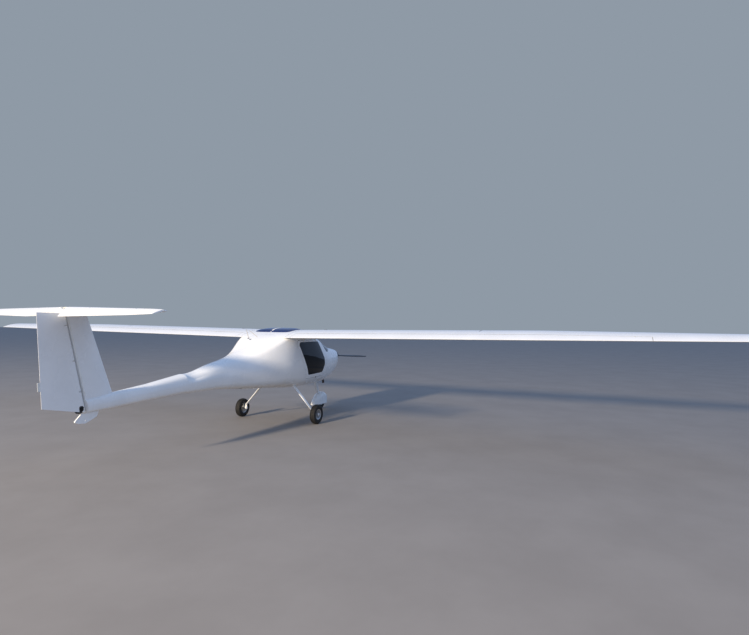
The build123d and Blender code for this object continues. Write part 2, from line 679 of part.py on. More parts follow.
def half_tailplane(side):
    faces = []
    for y, lead_x, trail_x, thickness in TAILPLANE_STATIONS:
        plane = Plane(origin=(lead_x, side * y, TAILPLANE_Z), x_dir=(-1, 0, 0), z_dir=(0, side, 0))
        faces.append(symmetric_aerofoil(lead_x - trail_x, thickness, plane))
    return loft(faces, ruled=True)


full_tailplane = half_tailplane(1) + half_tailplane(-1)


def elevator_hinge_point(y):
    return Vector(ELEVATOR_HINGE_X, y, TAILPLANE_Z)


elevator_zone = between(-4700, ELEVATOR_HINGE_X, -ELEVATOR_END_Y, ELEVATOR_END_Y, 1700, 2000)
elevator_nose = round_nose(elevator_hinge_point, ELEVATOR_NOSE, 0)
elevator_cove = round_nose(elevator_hinge_point, ELEVATOR_NOSE, ELEVATOR_GAP)
behind_elevator_hinge = between(-4700, ELEVATOR_HINGE_X, -1600, 1600, 1700, 2000)
stabiliser = full_tailplane - (behind_elevator_hinge + elevator_cove)
elevator = full_tailplane & (elevator_zone + elevator_nose)
notch_points = [(ELEVATOR_HINGE_X + 60, -NOTCH_IN_Y), (ELEVATOR_HINGE_X + 60, NOTCH_IN_Y),
                (ELEVATOR_HINGE_X, NOTCH_IN_Y), (-4500, NOTCH_OUT_Y), (-4500, -NOTCH_OUT_Y),
                (ELEVATOR_HINGE_X, -NOTCH_IN_Y)]
notch = Pos(0, 0, 1700) * extrude(make_face(Polyline(*notch_points, close=True)), 300)
elevator = elevator - notch
# The tube that joins the two halves across the notch, seated in a socket in each
socket_y = NOTCH_IN_Y + ELEVATOR_SOCKET_DEPTH
elevator_tube = bar(elevator_hinge_point(-socket_y), elevator_hinge_point(socket_y), ELEVATOR_TUBE_RADIUS)
elevator = elevator - bar(elevator_hinge_point(-socket_y - SEAT_FIT), elevator_hinge_point(socket_y + SEAT_FIT),
                          ELEVATOR_TUBE_RADIUS + SEAT_FIT)
for hinge_y in ELEVATOR_HINGES_Y:
    arm, slot = strap_hinge(elevator_hinge_point(hinge_y), (0, 1, 0), (1, 0, 0), ELEVATOR_ARM_LENGTH,
                            ELEVATOR_SLOT_HEIGHT)
    stabiliser = stabiliser + arm
    elevator = elevator - slot
droop = Pos(ELEVATOR_HINGE_X, 0, TAILPLANE_Z) * Rot(0, -ELEVATOR_DROOP, 0)
droop = droop * Pos(-ELEVATOR_HINGE_X, 0, -TAILPLANE_Z)
nodes["tailplane"] = stabiliser - fin
# The two halves are alike above and below, so one is the other turned over about the centre line
right_half = min(elevator.solids(), key=lambda solid: solid.center().Y)
left_half = Pos(0, 0, TAILPLANE_Z) * Rot(180, 0, 0) * Pos(0, 0, -TAILPLANE_Z) * right_half
nodes["elevator"] = Compound([droop * solid for solid in (right_half, left_half, elevator_tube)])

# Tail skid with its tie-down hole
SKID = [(-3690, 720), (-3725, 635), (-3868, 576), (-3965, 584), (-4012, 606), (-3925, 690), (-3900, 720)]
skid_plane = Plane(origin=(0, -SKID_THICKNESS / 2, 0), x_dir=(1, 0, 0), z_dir=(0, 1, 0))
skid_outline = FilletPolyline(*[(x, -z) for x, z in SKID], radius=12, close=True)
skid = extrude(skid_plane * make_face(skid_outline), SKID_THICKNESS)
skid = skid - bar(Vector(SKID_HOLE_X, -50, SKID_HOLE_Z), Vector(SKID_HOLE_X, 50, SKID_HOLE_Z), SKID_HOLE_RADIUS)
nodes["tail_skid"] = skid - outer - behind_rudder_hinge(RUDDER_NOSE + RUDDER_GAP, z_low=716, z_high=2100)

# Main gear
def turned(profile, x, y, z):
    # A profile of (distance along the axle, radius) corners, turned about an axle across the aircraft
    plane = Plane(origin=(x, y, z), x_dir=(0, 1, 0), z_dir=(1, 0, 0))
    face = plane * make_face(Polyline(*profile, close=True))
    return revolve(face, axis=Axis((x, y, z), (0, 1, 0)))


def tyre(radius, width, bead_radius, bead_width, x, y, z):
    half = width / 2
    bead = bead_width / 2
    tread = TREAD_SHARE * half
    shoulder = radius - SHOULDER_DROP * half
    middle = (bead_radius + shoulder) / 2
    outline = [
        Line((-bead, bead_radius), (bead, bead_radius)),
        ThreePointArc((bead, bead_radius), (half, middle), (tread, shoulder)),
        ThreePointArc((tread, shoulder), (0, radius), (-tread, shoulder)),
        ThreePointArc((-tread, shoulder), (-half, middle), (-bead, bead_radius)),
    ]
    plane = Plane(origin=(x, y, z), x_dir=(0, 1, 0), z_dir=(1, 0, 0))
    return revolve(plane * make_face(outline), axis=Axis((x, y, z), (0, 1, 0)))


def rim(bead_radius, flange_radius, width, bore_radius, hub_radius, x, y, z):
    half = width / 2
    hub_half = half * 0.9
    profile = [
        (-hub_half, bore_radius), (hub_half, bore_radius), (hub_half, hub_radius), (10, hub_radius + 4),
        (10, bead_radius - 12), (half - 6, bead_radius - 6), (half, flange_radius), (half - 5, flange_radius),
        (half - 10, bead_radius), (-half + 10, bead_radius), (-half + 5, flange_radius), (-half, flange_radius),
        (-half + 6, bead_radius - 6), (-10, bead_radius - 12), (-10, hub_radius + 4), (-hub_half, hub_radius),
    ]
    return turned(profile, x, y, z)


MAIN_RIM_WIDTH = 84
wheel_y = TRACK / 2
main_rim = rim(MAIN_BEAD_RADIUS, MAIN_RIM_RADIUS, MAIN_RIM_WIDTH, AXLE_RADIUS + BEARING_CLEARANCE,
               MAIN_HUB_RADIUS, 0, wheel_y, MAIN_TYRE_RADIUS)
main_tyre = tyre(MAIN_TYRE_RADIUS, MAIN_TYRE_WIDTH, MAIN_BEAD_RADIUS, MAIN_RIM_WIDTH - 20, 0, wheel_y,
                 MAIN_TYRE_RADIUS)
main_tyre = main_tyre - main_rim
# Leg stations: y, z, chord, thickness
LEG_STATIONS = [
    (LEG_ROOT_Y, LEG_ROOT_Z, 84, 30),
    (wheel_y - 95, MAIN_TYRE_RADIUS + 70, 64, 24),
]
leg_direction = Vector(0, LEG_STATIONS[1][0] - LEG_STATIONS[0][0], LEG_STATIONS[1][1] - LEG_STATIONS[0][1])
leg_faces = []
for y, z, chord, thickness in LEG_STATIONS:
    leg_plane = Plane(origin=(0, y, z), x_dir=(1, 0, 0), z_dir=leg_direction)
    leg_faces.append(leg_plane * Ellipse(chord / 2, thickness / 2))
leg = loft(leg_faces, ruled=True) - outer
hanger_y = wheel_y - 88
# The leg's foot, the axle's sleeve, the axle and its nut: first point, last point, radius
for start, end, radius in (
        ((hanger_y, MAIN_TYRE_RADIUS + 78), (hanger_y, MAIN_TYRE_RADIUS), 17),
        ((wheel_y - 105, MAIN_TYRE_RADIUS), (wheel_y - 40, MAIN_TYRE_RADIUS), 22),
        ((wheel_y - 105, MAIN_TYRE_RADIUS), (wheel_y + 50, MAIN_TYRE_RADIUS), AXLE_RADIUS),
        ((wheel_y + 40, MAIN_TYRE_RADIUS), (wheel_y + 50, MAIN_TYRE_RADIUS), 20)):
    leg = leg + bar(Vector(0, *start), Vector(0, *end), radius)
both_sides("main_leg", leg)
both_sides("main_rim", main_rim)
both_sides("main_tyre", main_tyre)

# Nose gear: a fixed raked leg, and a steered fork with its mudguard and wheel
nose_rake = atan2(NOSE_WHEEL_X - NOSE_LEG_TOP_X, NOSE_LEG_TOP_Z - NOSE_TYRE_RADIUS)
nose_down = Vector(sin(nose_rake), 0, -cos(nose_rake))
nose_ahead = Vector(cos(nose_rake), 0, sin(nose_rake))
nose_top = Vector(NOSE_LEG_TOP_X, 0, NOSE_LEG_TOP_Z)


def down_nose_leg(distance):
    return nose_top + nose_down * distance


# Nose leg stations: distance down the leg, chord, thickness
NOSE_LEG_STATIONS = [
    (-40, 112, 58),
    (NOSE_LEG_LENGTH, 72, 54),
]
nose_leg_faces = []
for distance, chord, thickness in NOSE_LEG_STATIONS:
    leg_plane = Plane(origin=down_nose_leg(distance), x_dir=nose_ahead, z_dir=nose_down)
    nose_leg_faces.append(leg_plane * Ellipse(chord / 2, thickness / 2))
nose_leg = loft(nose_leg_faces, ruled=True) - outer
stem_bore = bar(down_nose_leg(NOSE_LEG_LENGTH - 90), down_nose_leg(NOSE_LEG_LENGTH + 5),
                NOSE_STEM_RADIUS + BEARING_CLEARANCE)
nodes["nose_leg"] = nose_leg - stem_bore
axle_distance = hypot(NOSE_WHEEL_X - NOSE_LEG_TOP_X, NOSE_LEG_TOP_Z - NOSE_TYRE_RADIUS)
crown_distance = axle_distance - NOSE_TYRE_RADIUS - 22
fork = bar(down_nose_leg(NOSE_LEG_LENGTH - 85), down_nose_leg(crown_distance), NOSE_STEM_RADIUS)
fork = fork + bar(down_nose_leg(NOSE_LEG_LENGTH + 2), down_nose_leg(NOSE_LEG_LENGTH + 10), NOSE_STEM_RADIUS + 9)
fork_plane = Plane(origin=down_nose_leg(crown_distance), x_dir=(0, 1, 0), z_dir=nose_down)
fork_half = NOSE_TYRE_WIDTH / 2 + 6
fork_wall = 7
fork = fork + fork_plane * Box(2 * (fork_half + fork_wall), 44, 16)
blade_length = axle_distance - crown_distance
for side in (-1, 1):
    fork_blade = Pos(side * (fork_half + fork_wall / 2), 0, blade_length / 2) * Box(fork_wall, 34, blade_length)
    fork = fork + fork_plane * fork_blade
    boss = bar(Vector(NOSE_WHEEL_X, side * fork_half, NOSE_TYRE_RADIUS),
               Vector(NOSE_WHEEL_X, side * FORK_BOSS_REACH, NOSE_TYRE_RADIUS), 17)
    fork = fork + boss
fork = fork + bar(Vector(NOSE_WHEEL_X, -fork_half - 2, NOSE_TYRE_RADIUS),
                  Vector(NOSE_WHEEL_X, fork_half + 2, NOSE_TYRE_RADIUS), NOSE_AXLE_RADIUS)
nodes["nose_fork"] = fork


def fairing_form(inset):
    # Arched sections across the wheel, straight down below their widest point
    arches = []
    for x, half_width, top in FAIRING_STATIONS:
        half = half_width - inset
        crest = top - inset
        spring = crest - FAIRING_ARCH * half_width
        x = x + inset if x < NOSE_WHEEL_X else x - inset
        shoulder = (0.74 * half, spring + 0.72 * (crest - spring))
        arch = [
            Line((-half, 0), (half, 0)),
            Line((half, 0), (half, spring)),
            ThreePointArc((half, spring), shoulder, (0, crest)),
            ThreePointArc((0, crest), (-shoulder[0], shoulder[1]), (-half, spring)),
            Line((-half, spring), (-half, 0)),
        ]
        arches.append(Plane(origin=(x, 0, 0), x_dir=(0, 1, 0), z_dir=(1, 0, 0)) * make_face(arch))
    return loft(arches, ruled=True)


fairing = fairing_form(0) - fairing_form(FAIRING_WALL)
fairing = fairing - between(NOSE_WHEEL_X - 400, NOSE_WHEEL_X + 400, -200, 200, -50, FAIRING_BOTTOM_Z)
fairing = fairing - bar(down_nose_leg(NOSE_LEG_LENGTH), down_nose_leg(crown_distance), NOSE_STEM_RADIUS + 12)
nodes["nose_fairing"] = fairing - fork
nose_rim = rim(NOSE_BEAD_RADIUS, NOSE_RIM_RADIUS, 74, NOSE_AXLE_RADIUS + BEARING_CLEARANCE, 24, NOSE_WHEEL_X, 0,
               NOSE_TYRE_RADIUS)
nodes["nose_rim"] = nose_rim
nodes["nose_tyre"] = tyre(NOSE_TYRE_RADIUS, NOSE_TYRE_WIDTH, NOSE_BEAD_RADIUS, 54, NOSE_WHEEL_X, 0,
                          NOSE_TYRE_RADIUS) - nose_rim

# Cabin fittings
floor = inner & between(REAR_BULKHEAD_X, FIREWALL_X - FIREWALL_THICKNESS, -800, 800, FLOOR_Z - 8, FLOOR_Z)
nodes["cabin_floor"] = floor
nodes["rear_bulkhead"] = inner & between(REAR_BULKHEAD_X - 10, REAR_BULKHEAD_X, -800, 800, 300, 1800)
seat_base = between(SEAT_REAR_X, 260, -420, 420, FLOOR_Z, SEAT_Z) & inner
nodes["seat_base"] = seat_base
SEAT = [(280, SEAT_Z), (280, SEAT_Z + 90), (-150, SEAT_Z + 70), (-430, 1330), (-520, 1290), (-290, SEAT_Z)]
for name, side in (("seat_left", 1), ("seat_right", -1)):
    y_low = min(side * 25, side * 435)
    seat = side_prism(SEAT, 30, y_low, y_low + 410)
    nodes[name] = seat
panel = inner & between(830, 850, -800, 800, 1020, 1290)
panel = panel + (inner & between(830, FIREWALL_X - FIREWALL_THICKNESS, -800, 800, 1290, 1298))
nodes["instrument_panel"] = panel
CONSOLE = [(830, FLOOR_Z), (830, 1020), (790, 1020), (640, 800), (300, 780), (300, FLOOR_Z)]
nodes["centre_console"] = side_prism(CONSOLE, 10, -60, 60)
below_floor = between(REAR_BULKHEAD_X, FIREWALL_X, -800, 800, 300, FLOOR_Z)
sticks = []
for side in (-1, 1):
    stick = bar(Vector(431, side * 230, FLOOR_Z - 8), Vector(400, side * 230, 900), 11) - below_floor
    stick = stick + bar(Vector(400, side * 230, 895), Vector(392, side * 230, 1010), 18)
    sticks.append(stick)
nodes["control_sticks"] = Compound(sticks)
pedals = []
for y in (-255, -135, 135, 255):
    arm = bar(Vector(1009, y, FLOOR_Z - 8), Vector(1040, y, 830), 9) - below_floor
    pad = Pos(1036, y, 830) * Rot(0, 8, 0) * Box(14, 84, 110)
    pedals.append(arm + pad)
nodes["rudder_pedals"] = Compound(pedals)

os.makedirs("parts", exist_ok=True)
for node_name, solid in nodes.items():
    moved = Pos(ORIGIN_SHIFT, 0, 0) * solid
    export_step(moved, f"parts/{node_name}.step")
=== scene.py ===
import json
import math

import bmesh
import bpy
from mathutils import Matrix, Vector
from mathutils.bvhtree import BVHTree


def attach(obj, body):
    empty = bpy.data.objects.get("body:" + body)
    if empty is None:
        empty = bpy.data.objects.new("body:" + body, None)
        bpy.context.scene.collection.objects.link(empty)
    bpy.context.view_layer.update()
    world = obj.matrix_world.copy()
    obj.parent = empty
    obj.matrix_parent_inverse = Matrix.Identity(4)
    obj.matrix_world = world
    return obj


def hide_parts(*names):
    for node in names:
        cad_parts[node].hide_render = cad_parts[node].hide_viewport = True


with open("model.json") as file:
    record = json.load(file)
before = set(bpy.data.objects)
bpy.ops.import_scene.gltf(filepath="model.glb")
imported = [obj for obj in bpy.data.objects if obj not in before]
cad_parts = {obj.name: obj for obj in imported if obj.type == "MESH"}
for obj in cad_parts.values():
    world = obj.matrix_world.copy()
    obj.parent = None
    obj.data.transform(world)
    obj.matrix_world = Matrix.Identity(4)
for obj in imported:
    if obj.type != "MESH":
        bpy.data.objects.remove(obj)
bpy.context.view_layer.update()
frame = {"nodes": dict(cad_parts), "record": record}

CAD = frame["nodes"]

# Materials

# A wave texture of scale 1 repeats every 314 mm, and the other textures' features are about a metre apart
WAVE_REPEAT_MM = 314.16
TEXTURE_UNIT_MM = 1000


def linear(hex_colour):
    """An sRGB hex colour as the linear colour that a shader takes."""
    channels = [int(hex_colour[i:i + 2], 16) / 255 for i in (1, 3, 5)]
    straight = [c / 12.92 if c <= 0.04045 else ((c + 0.055) / 1.055) ** 2.4 for c in channels]
    return (*straight, 1.0)


def add_node(material, kind, inputs=None, **settings):
    """Adds a node to a material or a world, with its settings, and its inputs as values or as links."""
    tree = material.node_tree
    made = tree.nodes.new(kind)
    for name, value in settings.items():
        setattr(made, name, value)
    for name, value in (inputs or {}).items():
        if isinstance(value, bpy.types.NodeSocket):
            tree.links.new(value, made.inputs[name])
        else:
            made.inputs[name].default_value = value
    return made


def new_material(name, **sockets):
    """A material with one Principled shader, its plain values set on the shader's own sockets."""
    material = bpy.data.materials.new(name)
    material.use_nodes = True
    shader = material.node_tree.nodes["Principled BSDF"]
    for socket, value in sockets.items():
        shader.inputs[socket.replace("_", " ")].default_value = value
    return material, shader


def pattern(material, kind, size_mm, inputs=None, **settings):
    """A texture laid on the object's own coordinates, its features at a real size."""
    place = add_node(material, "ShaderNodeTexCoord")
    unit_mm = WAVE_REPEAT_MM if kind == "ShaderNodeTexWave" else TEXTURE_UNIT_MM
    return add_node(material, kind, {
        "Vector": place.outputs["Object"], "Scale": unit_mm / size_mm, **(inputs or {})}, **settings)


def blend_colours(material, shader, factor, hex_a, hex_b):
    """The base colour lies between two values, led by another node."""
    mix = add_node(material, "ShaderNodeMix", {
        "Factor": factor, "A": linear(hex_a), "B": linear(hex_b)}, data_type="RGBA")
    material.node_tree.links.new(mix.outputs["Result"], shader.inputs["Base Color"])


def vary(material, shader, hex_a, hex_b, size_mm, detail=4.0):
    """The colour wanders between two values over patches of a real size."""
    patches = pattern(material, "ShaderNodeTexNoise", size_mm, {"Detail": detail, "Roughness": 0.6})
    # A noise stays near its middle, so that stretch of it is spread over the whole blend
    spread = add_node(material, "ShaderNodeMapRange", {
        "Value": patches.outputs["Fac"], "From Min": 0.35, "From Max": 0.65})
    blend_colours(material, shader, spread.outputs["Result"], hex_a, hex_b)
    return patches


def relief(material, shader, height, depth_mm, strength):
    """A height from another node, as bump of a real depth."""
    bump = add_node(material, "ShaderNodeBump", {
        "Height": height, "Distance": depth_mm / 1000, "Strength": strength})
    material.node_tree.links.new(bump.outputs["Normal"], shader.inputs["Normal"])


def gloss_range(material, shader, patches, low, high):
    """Roughness between two values, led by the patches of the colour."""
    ramp = add_node(material, "ShaderNodeMapRange", {
        "Value": patches.outputs["Fac"], "To Min": low, "To Max": high})
    material.node_tree.links.new(ramp.outputs["Result"], shader.inputs["Roughness"])


def gelcoat():
    # Polyester gelcoat on glass fibre, moulded and polished: a wet-looking white whose reflections waver
    # a little where the laminate's weave and the spars print through.
    material, shader = new_material("moulded_white_gelcoat", IOR=1.5, Coat_Weight=0.25, Coat_Roughness=0.06)
    patches = vary(material, shader, "#F4F5F4", "#ECEDEC", size_mm=420)
    gloss_range(material, shader, patches, 0.20, 0.34)
    # The hull wavers over about 160 mm, as hand-laid laminate does
    waver = pattern(material, "ShaderNodeTexNoise", 160, {"Detail": 1.0})
    relief(material, shader, waver.outputs["Fac"], depth_mm=1.2, strength=0.35)
    return material


def tinted_acrylic(name, hex_colour):
    # Cast acrylic, blown over a form and tinted: black from outside until light falls through it, with
    # sharp reflections on both faces.
    material, shader = new_material(
        name, Base_Color=linear(hex_colour), IOR=1.49, Roughness=0.03, Transmission_Weight=0.35,
        Specular_IOR_Level=0.2)
    waver = pattern(material, "ShaderNodeTexNoise", 220, {"Detail": 1.0})
    relief(material, shader, waver.outputs["Fac"], depth_mm=1.0, strength=0.3)
    return material


def rubber(name, hex_a, hex_b, rough):
    # Vulcanised rubber, moulded: dull black that holds pale dust in its pores.
    material, shader = new_material(name, IOR=1.52, Specular_IOR_Level=0.35)
    patches = vary(material, shader, hex_a, hex_b, size_mm=24, detail=8.0)
    gloss_range(material, shader, patches, rough - 0.08, rough + 0.1)
    # Pores about 1 mm across, drawn twice as coarse so that they show
    pores = pattern(material, "ShaderNodeTexNoise", 2, {"Detail": 3.0})
    relief(material, shader, pores.outputs["Fac"], depth_mm=0.25, strength=0.5)
    return material


def cast_alloy():
    # Sand-cast aluminium, turned on its rims and brushed clean: a grainy satin grey.
    material, shader = new_material("cast_aluminium", Metallic=1.0)
    patches = vary(material, shader, "#C9CBCC", "#A7AAAC", size_mm=14, detail=8.0)
    gloss_range(material, shader, patches, 0.30, 0.48)
    # The sand leaves a grain of about 1.5 mm
    grain = pattern(material, "ShaderNodeTexNoise", 1.5)
    relief(material, shader, grain.outputs["Fac"], depth_mm=0.12, strength=0.5)
    return material


def painted_steel(name, hex_a, hex_b, rough):
    # Steel tube under two-pack paint, sprayed: even gloss with a light orange peel.
    material, shader = new_material(name, IOR=1.5, Coat_Weight=0.2, Coat_Roughness=0.1)
    patches = vary(material, shader, hex_a, hex_b, size_mm=60)
    gloss_range(material, shader, patches, rough, rough + 0.12)
    # Orange peel about 2.5 mm across
    peel = pattern(material, "ShaderNodeTexNoise", 2.5, {"Detail": 1.0})
    relief(material, shader, peel.outputs["Fac"], depth_mm=0.08, strength=0.5)
    return material


def bare_steel(name, hex_a, hex_b, size_mm):
    # Rolled stainless or plated steel: grey metal, in patches browned and blued where it runs hot.
    material, shader = new_material(name, Metallic=1.0)
    patches = vary(material, shader, hex_a, hex_b, size_mm, detail=6.0)
    gloss_range(material, shader, patches, 0.28, 0.52)
    # The rolls leave lines just under 1 mm apart
    rolling = pattern(material, "ShaderNodeTexWave", 0.9425, {"Distortion": 2.0}, bands_direction="Y")
    relief(material, shader, rolling.outputs["Fac"], depth_mm=0.05, strength=0.3)
    return material


def lacquered_black(name, hex_a, hex_b, rough):
    # Carbon fibre under gloss lacquer: near black, with the cloth's twill faintly in it.
    material, shader = new_material(
        name, IOR=1.5, Coat_Weight=0.15, Coat_Roughness=0.05, Roughness=rough, Specular_IOR_Level=0.25)
    # Tows 2 mm wide, drawn 5 mm wide so that they show
    twill = pattern(material, "ShaderNodeTexChecker", 5, {"Color1": linear(hex_a), "Color2": linear(hex_b)})
    material.node_tree.links.new(twill.outputs["Color"], shader.inputs["Base Color"])
    return material


def moulded_plastic(name, hex_a, hex_b, rough):
    # ABS or laminate finished with a leather-like grain in the mould: matt, with small dull highlights.
    material, shader = new_material(name, IOR=1.53, Specular_IOR_Level=0.4)
    patches = vary(material, shader, hex_a, hex_b, size_mm=90)
    gloss_range(material, shader, patches, rough, rough + 0.12)
    # The grain's pebbles are 1.6 mm across
    grain = pattern(material, "ShaderNodeTexVoronoi", 1.6)
    relief(material, shader, grain.outputs["Distance"], depth_mm=0.15, strength=0.5)
    return material


def woven_cloth(name, hex_a, hex_b, thread_mm):
    # Polyester upholstery cloth, plain woven: threads cross over and under, with a soft sheen at grazing
    # angles.
    material, shader = new_material(
        name, Roughness=0.9, Sheen_Weight=0.3, Sheen_Roughness=0.5, Specular_IOR_Level=0.2)
    # The threads are drawn about twice as coarse as they are, so that they show
    drawn_mm = 1.973 * thread_mm
    across = pattern(material, "ShaderNodeTexWave", drawn_mm, bands_direction="Y")
    along = pattern(material, "ShaderNodeTexWave", drawn_mm, bands_direction="DIAGONAL")
    cross = add_node(material, "ShaderNodeMath", {
        0: across.outputs["Fac"], 1: along.outputs["Fac"]}, operation="MULTIPLY")
    blend_colours(material, shader, cross.outputs["Value"], hex_a, hex_b)
    relief(material, shader, cross.outputs["Value"], depth_mm=0.4, strength=0.6)
    return material


def even_coat(name, hex_a, hex_b, size_mm, **sockets):
    # A coat with no relief that would show: only its colour wanders a little, as dust and wear leave it.
    material, shader = new_material(name, **sockets)
    vary(material, shader, hex_a, hex_b, size_mm)
    return material


GELCOAT = gelcoat()
WINDOW = tinted_acrylic("smoked_acrylic", "#0B0C0D")
ROOF_PANE = tinted_acrylic("blue_tinted_acrylic", "#1B2F6B")
TYRE = rubber("tyre_rubber", "#1C1C1D", "#2B2A28", rough=0.72)
SEAL = rubber("seal_rubber", "#101011", "#1A1A1B", rough=0.6)
ALLOY = cast_alloy()
LEG_STEEL = painted_steel("white_painted_steel", "#E9EAE9", "#DEDFDE", rough=0.28)
BLACK_STEEL = painted_steel("black_painted_steel", "#141415", "#1D1D1E", rough=0.35)
ENGINE_PAINT = painted_steel("grey_engine_paint", "#4A4B4D", "#5A5B5C", rough=0.4)
FIREWALL_STEEL = bare_steel("rolled_stainless_sheet", "#B4B6B8", "#9C9D9E", size_mm=60)
EXHAUST_STEEL = bare_steel("heat_coloured_stainless", "#5A4B42", "#3A3B40", size_mm=25)
BOLT_STEEL = bare_steel("zinc_plated_steel", "#B9BABB", "#A5A39A", size_mm=8)
PROPELLER_BLACK = lacquered_black("lacquered_carbon_fibre", "#0B0B0C", "#151517", rough=0.22)
CABIN_GREY = moulded_plastic("grey_cabin_laminate", "#4A4B4D", "#545557", rough=0.55)
PANEL_BLACK = moulded_plastic("black_panel_laminate", "#161617", "#1E1E1F", rough=0.5)
SEAT_CLOTH = woven_cloth("dark_woven_seat_cloth", "#2A2D31", "#3B3F45", thread_mm=1.6)
WEBBING = woven_cloth("woven_harness_webbing", "#1D1F24", "#2B2E36", thread_mm=1.2)
PIPING = woven_cloth("seat_piping_cloth", "#15171A", "#202327", thread_mm=1.0)
SEAM_DARK = even_coat("panel_gap_shadow", "#4A4D4F", "#5A5D5F", size_mm=40, Roughness=0.7)
TAPE = even_coat("white_sealing_tape", "#F1F1EC", "#E4E4DC", size_mm=30, Roughness=0.5, IOR=1.48)
CHANNEL = even_coat("cable_channel_filler", "#C9C0AE", "#B9AF9C", size_mm=30, Roughness=0.6, IOR=1.48)
POINTER_WHITE = even_coat("pointer_paint", "#E6E6DF", "#D8D8D0", size_mm=4, Roughness=0.5)
DIAL_BLACK = even_coat(
    "dial_face", "#0C0D0E", "#131416", size_mm=20, IOR=1.5, Coat_Weight=0.8, Coat_Roughness=0.03,
    Roughness=0.5)

FINISHES = {
    "airframe_white": GELCOAT,
    "window_tint": WINDOW,
    "roof_tint": ROOF_PANE,
    "engine_metal": ENGINE_PAINT,
    "steel_sheet": FIREWALL_STEEL,
    "exhaust_steel": EXHAUST_STEEL,
    "prop_black": PROPELLER_BLACK,
    "leg_white": GELCOAT,
    "leg_steel": LEG_STEEL,
    "alloy": ALLOY,
    "tyre_black": TYRE,
    "cabin_grey": CABIN_GREY,
    "panel_black": PANEL_BLACK,
    "seat_cloth": SEAT_CLOTH,
    "control_black": BLACK_STEEL,
}
SOLIDS_SMOOTH_BELOW = 28
for part in frame["record"]["subparts"]:
    carried = CAD[part["node"]]
    carried.data.materials.clear()
    carried.data.materials.append(FINISHES[part["material_slot"]])
    carried.data.shade_smooth()
    carried.data.set_sharp_from_angle(angle=math.radians(SOLIDS_SMOOTH_BELOW))

# Camera: where the eye stands, in metres, which way it looks, how long its lens is and how far it sees

EYE = Vector((-6.933, -5.501, 1.740))
YAW = math.radians(24.09)
PITCH = math.radians(0.859)
ROLL = math.radians(0.695)
SENSOR = 36.0
FOCAL_PIXELS = 527.45
PHOTO_WIDTH = 749
FARTHEST_SEEN = 200

ahead = Vector((math.cos(PITCH) * math.cos(YAW), math.cos(PITCH) * math.sin(YAW), math.sin(PITCH)))
level_right = ahead.cross(Vector((0, 0, 1))).normalized()
level_up = level_right.cross(ahead)
right = level_right * math.cos(ROLL) + level_up * math.sin(ROLL)
up = level_up * math.cos(ROLL) - level_right * math.sin(ROLL)
lens = bpy.data.cameras.new("viewpoint")
lens.sensor_width = SENSOR
lens.lens = FOCAL_PIXELS / PHOTO_WIDTH * SENSOR
lens.clip_end = FARTHEST_SEEN
viewpoint = bpy.data.objects.new("viewpoint", lens)
viewpoint.matrix_world = Matrix((
    (right.x, up.x, -ahead.x, EYE.x),
    (right.y, up.y, -ahead.y, EYE.y),
    (right.z, up.z, -ahead.z, EYE.z),
    (0, 0, 0, 1)))
bpy.context.scene.collection.objects.link(viewpoint)
bpy.context.scene.camera = viewpoint

# Floor and light

FLOOR_HALF = 150
SKY_STRENGTH = 0.76
LIGHTS_AIM = (0, 0, 1)

bpy.context.scene.view_settings.view_transform = "Standard"
floor_corners = [(x * FLOOR_HALF, y * FLOOR_HALF, 0) for x, y in ((-1, -1), (1, -1), (1, 1), (-1, 1))]
floor_mesh = bpy.data.meshes.new("floor")
floor_mesh.from_pydata(floor_corners, [], [(0, 1, 2, 3)])
floor = bpy.data.objects.new("floor", floor_mesh)
floor_mesh.materials.append(even_coat("studio_floor", "#8E8A86", "#888480", size_mm=900, Roughness=0.9))
bpy.context.scene.collection.objects.link(floor)

# The sky of the studio lights the aircraft coolly, and the camera sees it as a plain pale backdrop
world = bpy.data.worlds.new("studio")
bpy.context.scene.world = world
world.use_nodes = True
sky = world.node_tree.nodes["Background"]
sky.inputs["Color"].default_value = linear("#A9C3EE")
sky.inputs["Strength"].default_value = SKY_STRENGTH
backdrop = add_node(world, "ShaderNodeBackground", {"Color": linear("#8F9AA6")})
rays = add_node(world, "ShaderNodeLightPath")
seen = add_node(world, "ShaderNodeMixShader", {
    "Fac": rays.outputs["Is Camera Ray"], 1: sky.outputs["Background"], 2: backdrop.outputs["Background"]})
world.node_tree.links.new(seen.outputs["Shader"], world.node_tree.nodes["World Output"].inputs["Surface"])


def softbox(name, place, width, height, power, colour):
    """A flat lamp at a place in metres, turned to the aircraft."""
    light = bpy.data.lights.new(name, "AREA")
    light.shape = "RECTANGLE"
    light.size = width
    light.size_y = height
    light.energy = power
    light.color = linear(colour)[:3]
    lamp = bpy.data.objects.new(name, light)
    lamp.location = place
    lamp.rotation_euler = (Vector(LIGHTS_AIM) - Vector(place)).to_track_quat("-Z", "Y").to_euler()
    bpy.context.scene.collection.objects.link(lamp)


# A warm low key from behind and a little to the left of the aircraft, and a cool weak fill on its right
softbox("key", (-30, 4.5, 9.5), width=1.6, height=1.6, power=17500, colour="#FFEBCF")
softbox("fill", (-7, -20, 8), width=14, height=8, power=300, colour="#DFE9FF")

# Shapes that the pieces are made of: each gives a list of corners and a list of faces

# In metres: how close two corners are one, how far off a ray starts, and how deep strips and heads sit
SAME_CORNER = 1e-6
RAY_START = 0.4
STRIP_SUNK = 0.0004
HEAD_SUNK = 0.0006


